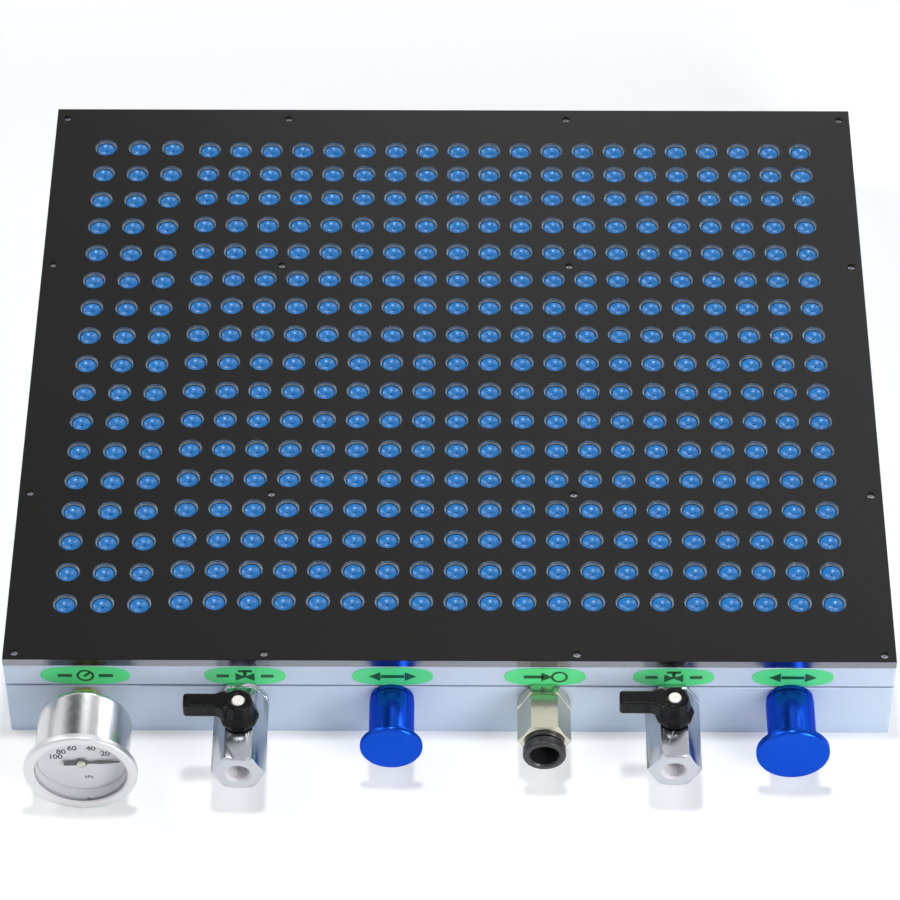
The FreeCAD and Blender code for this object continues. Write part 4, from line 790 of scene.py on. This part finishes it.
class CHUCK_OT_gauge(Operator):
    """Build the vacuum gauge: case, bezel, window, dial, needle and cap"""
    bl_idname = "chuck.gauge"
    bl_label = "Vacuum gauge"

    # Distances from the plates' front face in millimetres, and angles in degrees
    DIAL_FACE = 46.95
    NEEDLE_GAP = 0.9
    NEEDLE_THICKNESS = 0.6
    HUB = 3.4
    ZERO_ANGLE = 3.0
    SCALE_ANGLE = 159.0
    SCALE_STEPS = 20
    # Each number with its angle and its distance from the pivot, as in the photograph
    NUMBERS = (("20", 26.5, 15.2), ("40", 62.6, 12.8), ("60", 112.0, 12.3), ("80", 143.0, 13.6),
               ("100", 165.0, 14.8))

    def execute(self, context):
        sizes = context.scene.chuck_sizes
        steps = sizes.round_steps + 24
        centre = centre_line("gauge_bezel")
        self.make_case(centre, steps)
        self.make_bezel(centre, steps)
        self.make_window(centre, steps)
        self.make_dial(centre, steps)
        self.make_needle(centre)
        refinished("brass", "gauge_socket", "gauge_movement", "gauge_bourdon_tube")
        return {"FINISHED"}

    def make_case(self, centre, steps):
        """A drawn cup with a rounded back."""
        back, front, radius, wall, hole = 16.0, 52.75, 26.5, 1.2, 6.05
        outline = [(hole, back), *arc(radius - 5.0, back + 5.0, 5.0, -90.0, 0.0, 8), (radius, front),
                   (radius - wall, front), *arc(radius - 5.0, back + 5.0, 3.8, 0.0, -90.0, 6),
                   (hole, back + wall)]
        case = turned("gauge_drawn_case", outline, centre, OUT, steps)
        finished(smoothed(case), "chuck", "gauge_steel", "buffed_steel", "gauge_case")
        faced(case, "dial_paint", self.looks_inwards(centre))

    def make_bezel(self, centre, steps):
        """A rolled ring that holds the window."""
        back, front, radius = 52.0, 56.4, 31.75
        outline = [(26.55, back), (radius - 0.5, back), (radius, back + 0.5),
                   *arc(radius - 1.5, front - 1.5, 1.5, 0.0, 90.0, 6), (27.2, front), (26.3, front - 0.3),
                   (25.9, front - 0.9), (25.9, 54.8), (28.65, 54.8), (28.65, 52.75), (26.55, 52.75)]
        bezel = turned("gauge_rolled_bezel", outline, centre, OUT, steps)
        finished(smoothed(bezel), "chuck", "gauge_steel", "satin_steel", "gauge_bezel")
        faced(bezel, "dial_paint", self.looks_inwards(centre))

    def looks_inwards(self, centre):
        """A test for the faces of a turned piece that look at its axis, and for the seat behind the glass."""
        def test(place, normal):
            arm = place - centre
            reach = arm.dot(OUT)
            faces_axis = (arm - OUT * reach).dot(normal) < -5.0 * MM
            return faces_axis or (normal.dot(OUT) > 0.9 and reach < 53.0 * MM)
        return test

    def make_window(self, centre, steps):
        """A flat glass disc with ground edges."""
        outline = [(0.0, 52.75), (28.3, 52.75), (28.6, 53.05), (28.6, 54.45), (28.3, 54.75), (0.0, 54.75)]
        window = smoothed(turned("gauge_glass", outline, centre, OUT, steps))
        finished(window, "chuck", "glass", "glass", "gauge_window")

    def make_dial(self, centre, steps):
        """A painted disc with a scale, printed as thin raised ink."""
        outline = [(1.2, 46.15), (24.8, 46.15), (25.0, 46.35), (25.0, 46.75), (24.8, 46.95), (1.2, 46.95)]
        dial = smoothed(turned("gauge_dial_plate", outline, centre, OUT, steps))
        finished(dial, "chuck", "dial_plate", "dial_paint", "gauge_dial")
        face = centre + OUT * self.DIAL_FACE * MM
        ticks = []
        for step in range(self.SCALE_STEPS + 1):
            angle = math.radians(self.ZERO_ANGLE + step * self.SCALE_ANGLE / self.SCALE_STEPS)
            inner, width = (21.4, 0.5) if step % 4 == 0 else (22.6, 0.28)
            ticks.append(self.stroke(face, angle, inner, 23.6, width))
        ticks.append(self.number(face, "kPa", -77.0, 14.5, 3.4))
        finished(joined("gauge_scale", ticks), "chuck", "needle_black", "grey_ink")
        numbers = [self.number(face, *number, 5.4) for number in self.NUMBERS]
        finished(joined("gauge_numbers", numbers), "chuck", "needle_black", "black_enamel")

    def stroke(self, face, angle, inner, outer, width):
        """One line of the scale."""
        low = Vector((inner, -0.03, -width / 2)) * MM
        high = Vector((outer, 0.0, width / 2)) * MM
        stroke = block("stroke", low, high)
        stroke.rotation_euler = (0.0, -angle, 0.0)
        stroke.location = face
        choose(stroke)
        bpy.ops.object.transform_apply(location=True, rotation=True, scale=False)
        return stroke

    def number(self, face, text, angle, radius, height):
        """One number of the scale, upright, at an angle in degrees."""
        angle = math.radians(angle)
        place = face + Vector((math.cos(angle), 0.0, math.sin(angle))) * radius * MM
        bpy.ops.object.select_all(action="DESELECT")
        bpy.ops.object.text_add(location=place, rotation=(math.pi / 2, 0.0, 0.0))
        number = bpy.context.active_object
        number.data.body = text
        number.data.size = height * MM
        number.data.extrude = 0.03 * MM
        number.data.offset = 0.14 * MM
        number.data.align_x = "CENTER"
        number.data.align_y = "CENTER"
        bpy.ops.object.convert(target="MESH")
        number = bpy.context.active_object
        choose(number)
        bpy.ops.object.transform_apply(location=True, rotation=True, scale=True)
        return number

    def make_needle(self, centre):
        """A flat pointer with a wide middle and a heavy tail, under a domed cap."""
        plane = self.DIAL_FACE + self.NEEDLE_GAP
        top = plane + self.NEEDLE_THICKNESS
        pivot = centre + OUT * plane * MM
        half_widths = ((-10.0, 1.7), (-3.4, 1.7), (5.4, 0.6), (11.0, 1.35), (21.5, 0.3))
        edge = [(reach, half) for reach, half in half_widths]
        edge += [(reach, -half) for reach, half in reversed(half_widths)]
        corners = [pivot + Vector((reach, 0.0, rise)) * MM for reach, rise in edge]
        needle = traced("gauge_pointer", corners, OUT * self.NEEDLE_THICKNESS * MM)
        hub = turned("gauge_pointer_hub", [(0.0, plane), (self.HUB, plane), (self.HUB, top), (0.0, top)],
                     centre, OUT, 40)
        combined(needle, hub, "UNION")
        arbor = turned("gauge_arbor", [(0.0, 37.15), (0.8, 37.15), (0.8, plane + 0.3), (0.0, plane + 0.3)],
                       centre, OUT, 16)
        combined(needle, arbor, "UNION")
        with editing(needle):
            bpy.ops.transform.rotate(value=math.radians(self.ZERO_ANGLE), orient_axis="Y",
                                     center_override=pivot)
        smoothed(needle)
        finished(needle, "needle", "needle_black", "black_enamel", "gauge_needle")
        outline = [(0.0, top), (2.6, top), (2.6, top + 0.8), *arc(1.8, top + 0.8, 0.8, 0.0, 90.0, 5)[1:],
                   (0.0, top + 1.6)]
        cap = smoothed(turned("gauge_pointer_cap", outline, centre, OUT, 40), 50.0)
        finished(cap, "needle", "brass", "thin_nickel", "gauge_needle_cap")


# Ball valves

class CHUCK_OT_ball_valves(Operator):
    """Build both ball valves: tail, body with its thread, lever and lever screw"""
    bl_idname = "chuck.ball_valves"
    bl_label = "Ball valves"

    # Millimetres: across the flats, from the outlet to the ball's middle, from there to a seat, and the bore
    FLATS = 26.5
    BALL_DEPTH = 29.0
    SEAT = 8.65
    BORE = 4.5

    def execute(self, context):
        sizes = context.scene.chuck_sizes
        for side in ("left", "right"):
            self.make_valve(side, sizes)
            self.make_lever(side)
            refinished("nickel", f"{side}_valve_ball")
            refinished("ptfe", f"{side}_valve_seats")
            refinished("brass", f"{side}_valve_stem")
        return {"FINISHED"}

    def make_valve(self, side, sizes):
        """Two lengths of hexagonal bar: the tail screwed into the base, and the body with a tapped outlet."""
        low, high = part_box(f"{side}_valve_body")
        centre = centre_line(f"{side}_valve_tail")
        corner = self.FLATS / math.sqrt(3.0)
        bore = self.BORE
        waist = corner - 2.4
        front = (FRONT - low.y) / MM
        ball_front = front - self.BALL_DEPTH + self.SEAT
        ball_back = front - self.BALL_DEPTH - self.SEAT
        tail = hexagonal(f"{side}_valve_hex_tail", self.FLATS,
                         [(bore, 0.6), (corner - 1.6, 0.6), (corner, 1.4), (corner, 2.4), (waist, 3.6),
                          (bore, 3.6)], centre, sizes.round_steps)
        add_shank(tail, centre, bore, 6.2, 6.5)
        boss = turned("boss", [(bore, 3.5), (10.4, 3.5), (10.4, ball_back), (8.9, ball_back),
                               (8.9, ball_back - 2.1), (bore, ball_back - 2.1)], centre, OUT, 40)
        combined(tail, boss, "UNION")
        softened(tail, 0.25 * MM)
        finished(tail, "chuck", "plated_brass", "nickel", f"{side}_valve_tail")
        outline = [(10.45, 3.6), (waist, 3.6), (corner, 4.8), (corner, front - 1.6),
                   (corner - 3.4, front), (7.4, front),
                   *self.thread(sizes, front - 0.8, front - 16.0), (6.1, front - 17.0), (bore, front - 17.0),
                   (bore, ball_front + 2.1), (8.9, ball_front + 2.1), (8.9, ball_front), (8.65, ball_front),
                   (8.65, ball_back), (10.45, ball_back)]
        body = hexagonal(f"{side}_valve_hex_body", self.FLATS, outline, centre, sizes.round_steps)
        axis = upright_axis(f"{side}_valve_stem")
        top = high.z / MM
        gland = turned("gland", [(3.05, 40.0), (6.2, 40.0), (6.2, top - 0.3), (5.9, top), (3.05, top)],
                       axis, UP, 40)
        combined(body, gland, "UNION")
        softened(body, 0.3 * MM)
        finished(body, "chuck", "plated_brass", "nickel", f"{side}_valve_body")
        faced(body, "tapped_bore",
              lambda place, normal: place.y < FRONT - (front - 18.0) * MM
              and (place - centre - OUT * (place - centre).dot(OUT)).length < 7.2 * MM)

    def thread(self, sizes, mouth, root):
        """The ridges of the thread in the outlet, from its mouth inwards."""
        pitch = sizes.thread_pitch / MM
        turns = int((mouth - root) / pitch)
        root_radius, crest_radius = 6.58, 6.0
        points = []
        for turn in range(turns):
            points.append((root_radius, mouth - turn * pitch))
            points.append((crest_radius, mouth - (turn + 0.5) * pitch))
        return points

    def make_lever(self, side):
        """A moulded lever: a faceted skirt that narrows to its top, and an arm that grows out of it."""
        low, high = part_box(f"{side}_valve_lever")
        axis = upright_axis(f"{side}_valve_stem")
        body = f"{side}_valve_turning"
        foot, top = low.z / MM, high.z / MM
        outline = [(6.7, foot), (10.6, foot), (11.4, foot + 1.0), (11.4, foot + 3.0), (9.2, foot + 8.5),
                   (7.8, top), (4.0, top), (4.0, top - 2.3), (3.2, top - 2.3), (3.2, foot + 2.0),
                   (6.7, foot + 2.0)]
        lever = turned(f"{side}_moulded_lever", outline, axis, UP, 10)
        tip = (axis.x - low.x) / MM
        corners = [(-5.0, -5.4), (-8.0, -6.8), (-13.0, -4.6), (1.2 - tip, -4.6), (-tip, -3.4), (-tip, 3.4),
                   (1.2 - tip, 4.6), (-13.0, 4.6), (-8.0, 6.8), (-5.0, 5.4)]
        corners = [Vector((axis.x + across * MM, axis.y + deep * MM, high.z - 9.8 * MM))
                   for across, deep in corners]
        arm = traced("arm", corners, UP * 9.8 * MM)
        combined(lever, arm, "UNION")
        modified(lever, "REMESH", mode="VOXEL", voxel_size=0.4 * MM)
        modified(lever, "SMOOTH", factor=0.5, iterations=18)
        smoothed(lever, 60.0)
        finished(lever, body, "black_plastic", "black_nylon", f"{side}_valve_lever")
        root, cap = levels(f"{side}_valve_lever_screw")
        outline = [(0.0, root), (1.6, root), (1.6, cap - 2.0), (3.7, cap - 2.0), (3.7, cap - 0.5), (3.2, cap),
                   (0.0, cap)]
        screw = turned(f"{side}_lever_cap_screw", outline, axis, UP, 32)
        socketed(screw, 1.3, (axis.x, axis.y, (cap + 0.3) * MM))
        finished(screw, body, "steel", "chromed_steel", f"{side}_valve_lever_screw")


# Pull valves

class CHUCK_OT_pull_valves(Operator):
    """Turn the blue sleeves of both pull valves and finish what they slide on"""
    bl_idname = "chuck.pull_valves"
    bl_label = "Pull valves"

    def execute(self, context):
        sizes = context.scene.chuck_sizes
        for side, sleeve, disc, thickness in (("left", 12.75, 17.65, 3.6), ("right", 13.65, 20.6, 4.8)):
            low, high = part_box(f"{side}_pull_knob")
            centre = centre_line(f"{side}_pull_knob")
            back = (FRONT - high.y) / MM
            front = (FRONT - low.y) / MM
            outline = [(9.3, back), (sleeve - 0.4, back), (sleeve, back + 0.4), (sleeve, front - thickness),
                       (disc - 0.5, front - thickness), (disc, front - thickness + 0.5),
                       *arc(disc - 2.2, front - 2.2, 2.2, 0.0, 90.0, 6), (0.0, front),
                       (0.0, 22.0), (9.3, 22.0)]
            knob = smoothed(turned(f"{side}_turned_knob", outline, centre, OUT, sizes.round_steps))
            finished(knob, f"{side}_pull_sliding", "blue_anodised", "blue_anodised",
                     f"{side}_pull_knob")
            refinished("blue_anodised", f"{side}_pull_housing")
            refinished("nickel", f"{side}_pull_spool")
            refinished("gasket", f"{side}_pull_seals")
        return {"FINISHED"}


# Inlet

class CHUCK_OT_inlet(Operator):
    """Build the push-in inlet: hexagonal body, collar and release sleeve"""
    bl_idname = "chuck.inlet"
    bl_label = "Tube inlet"

    def execute(self, context):
        sizes = context.scene.chuck_sizes
        centre = centre_line("inlet_body")
        corner = 26.0 / math.sqrt(3.0)
        outline = [(5.5, 0.6), (corner - 1.6, 0.6), (corner, 1.4), (corner, 6.3), (corner - 3.0, 7.8),
                   (corner, 9.3), (corner, 30.4), (corner - 3.0, 32.0), (11.2, 32.0), (11.2, 28.0),
                   (10.3, 28.0), (10.3, 19.0), (8.1, 19.0), (8.1, 9.0), (5.5, 9.0)]
        body = hexagonal("inlet_hex_body", 26.0, outline, centre, sizes.round_steps)
        add_shank(body, centre, 5.5, 7.9, 8.28)
        softened(body, 0.35 * MM)
        finished(body, "chuck", "plated_brass", "thin_nickel", "inlet_body")
        outline = [(9.4, 28.0), (11.15, 28.0), (11.15, 33.9), (10.7, 34.4), (9.4, 34.4)]
        collar = smoothed(turned("inlet_pressed_collar", outline, centre, OUT, sizes.round_steps))
        finished(collar, "chuck", "black_plastic", "black_acetal", "inlet_collar")
        outline = [(8.15, 26.9), (9.1, 26.9), (9.35, 27.3), (9.35, 36.4), (11.7, 36.4), (12.15, 36.9),
                   *arc(10.95, 40.8, 1.2, 0.0, 90.0, 4), (9.0, 42.0), (8.15, 41.1)]
        sleeve = smoothed(turned("inlet_release_ring", outline, centre, OUT, sizes.round_steps))
        finished(sleeve, "release_sleeve", "black_plastic", "black_acetal", "inlet_sleeve")
        refinished("zinc_steel", "inlet_grip_ring")
        refinished("gasket", "inlet_seal")
        return {"FINISHED"}


# Labels

class CHUCK_OT_labels(Operator):
    """Cut the six oval labels and print a plain pictogram on each"""
    bl_idname = "chuck.labels"
    bl_label = "Labels"

    # Half the height by which the printed marks stand proud of a label, in millimetres
    INK = 0.02
    # Each mark's kind, place across and up, then its sizes in millimetres and its turn in degrees
    PICTOGRAMS = {
        "label_gauge": [("ring", 0.0, 0.0, 5.0), ("bar", 0.9, 0.9, 4.8, 1.7, 45.0),
                        ("bar", 11.5, 0.0, 8.0, 2.6, 0.0), ("bar", -11.5, 0.0, 8.0, 2.6, 0.0)],
        "label_left_valve": [("triangle", -3.4, -0.8, 3.9, -90.0), ("triangle", 3.4, -0.8, 3.9, 90.0),
                             ("bar", 0.0, 2.0, 2.0, 4.6, 0.0), ("bar", 0.0, 4.3, 8.0, 2.0, 0.0),
                             ("bar", 12.5, 0.0, 7.0, 2.6, 0.0), ("bar", -12.5, 0.0, 7.0, 2.6, 0.0)],
        "label_left_pull": [("triangle", -9.0, 0.0, 4.4, 90.0), ("triangle", 9.0, 0.0, 4.4, -90.0),
                            ("bar", 0.0, 0.0, 13.0, 2.6, 0.0)],
        "label_inlet": [("ring", 8.0, 0.0, 4.8), ("bar", -6.5, 0.0, 11.0, 2.6, 0.0),
                        ("triangle", 0.0, 0.0, 4.4, -90.0)],
    }
    PICTOGRAMS["label_right_valve"] = PICTOGRAMS["label_left_valve"]
    PICTOGRAMS["label_right_pull"] = PICTOGRAMS["label_left_pull"]

    def execute(self, context):
        for node, shapes in self.PICTOGRAMS.items():
            self.make_label(node, shapes)
        return {"FINISHED"}

    def make_label(self, node, shapes):
        """One oval plate with a soft rim and its marks."""
        low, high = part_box(node)
        middle = (low + high) / 2
        size = high - low
        corners = [Vector((middle.x + size.x / 2 * self.blunt(math.cos(angle)), high.y,
                           middle.z + size.z / 2 * self.blunt(math.sin(angle))))
                   for angle in (math.tau * step / 72 for step in range(72))]
        label = traced(node + "_plate", corners, OUT * size.y)
        with editing(label):
            select_faces(label, lambda centre, normal: normal.y < -0.9)
            bpy.ops.mesh.bevel(offset=0.12 * MM, segments=2, affect="EDGES")
        smoothed(label)
        finished(label, "chuck", "green_label", "green_film", node)
        middle.y = low.y
        marks = [self.mark(middle, *shape) for shape in shapes]
        finished(joined(node + "_pictogram", marks), "chuck", "green_label", "dark_ink")

    def blunt(self, reach):
        """A cosine or sine drawn out towards its ends, so that the oval is fuller than an ellipse."""
        return math.copysign(abs(reach) ** 0.8, reach)

    def mark(self, middle, kind, across, up, *sizes):
        """One shape of a pictogram, a little proud of the label."""
        place = middle + Vector((across, -self.INK, up)) * MM
        if kind == "ring":
            radius = sizes[0]
            outline = [(radius - 1.4, -self.INK), (radius, -self.INK), (radius, self.INK),
                       (radius - 1.4, self.INK)]
            return turned("ring", outline, place, OUT, 40)
        turn = sizes[-1]
        if kind == "bar":
            corner = Vector((sizes[0] / 2, self.INK, sizes[1] / 2)) * MM
            mark = block("bar", -corner, corner)
        else:
            mark = added("triangle", bpy.ops.mesh.primitive_cylinder_add, vertices=3, radius=sizes[0] * MM,
                         depth=2 * self.INK * MM, rotation=(math.pi / 2, 0.0, 0.0))
        mark.rotation_euler = (0.0, -math.radians(turn), 0.0)
        mark.location = place
        choose(mark)
        bpy.ops.object.transform_apply(location=True, rotation=True, scale=False)
        return mark


# Sidebar and registration

OPERATORS = (
    CHUCK_OT_stage,
    CHUCK_OT_cover_plate,
    CHUCK_OT_pads,
    CHUCK_OT_cover_screws,
    CHUCK_OT_plates,
    CHUCK_OT_gauge,
    CHUCK_OT_ball_valves,
    CHUCK_OT_pull_valves,
    CHUCK_OT_inlet,
    CHUCK_OT_labels,
)


class CHUCK_PT_sidebar(Panel):
    """Sizes, colours and steps of the vacuum chuck"""
    bl_idname = "CHUCK_PT_sidebar"
    bl_label = "Vacuum chuck"
    bl_space_type = "VIEW_3D"
    bl_region_type = "UI"
    bl_category = "Chuck"

    def draw(self, context):
        for group in (context.scene.chuck_sizes, context.scene.chuck_colours, context.scene.chuck_studio):
            column = self.layout.column(align=True)
            for name in group.__annotations__:
                column.prop(group, name)
        for operator in OPERATORS:
            self.layout.operator(operator.bl_idname)


CLASSES = (ChuckSizes, ChuckColours, ChuckStudio, *OPERATORS, CHUCK_PT_sidebar)


def register():
    for each in CLASSES:
        bpy.utils.register_class(each)
    bpy.types.Scene.chuck_sizes = PointerProperty(type=ChuckSizes)
    bpy.types.Scene.chuck_colours = PointerProperty(type=ChuckColours)
    bpy.types.Scene.chuck_studio = PointerProperty(type=ChuckStudio)


def unregister():
    del bpy.types.Scene.chuck_studio
    del bpy.types.Scene.chuck_colours
    del bpy.types.Scene.chuck_sizes
    for each in reversed(CLASSES):
        bpy.utils.unregister_class(each)


def main():
    register()
    MATERIALS.update(make_materials(bpy.context.scene.chuck_colours))
    MATERIALS["glass"] = glass_material()
    bpy.ops.chuck.stage()
    bpy.ops.chuck.cover_plate()
    bpy.ops.chuck.pads()
    bpy.ops.chuck.cover_screws()
    bpy.ops.chuck.plates()
    bpy.ops.chuck.gauge()
    bpy.ops.chuck.ball_valves()
    bpy.ops.chuck.pull_valves()
    bpy.ops.chuck.inlet()
    bpy.ops.chuck.labels()


if __name__ == "__main__":
    main()
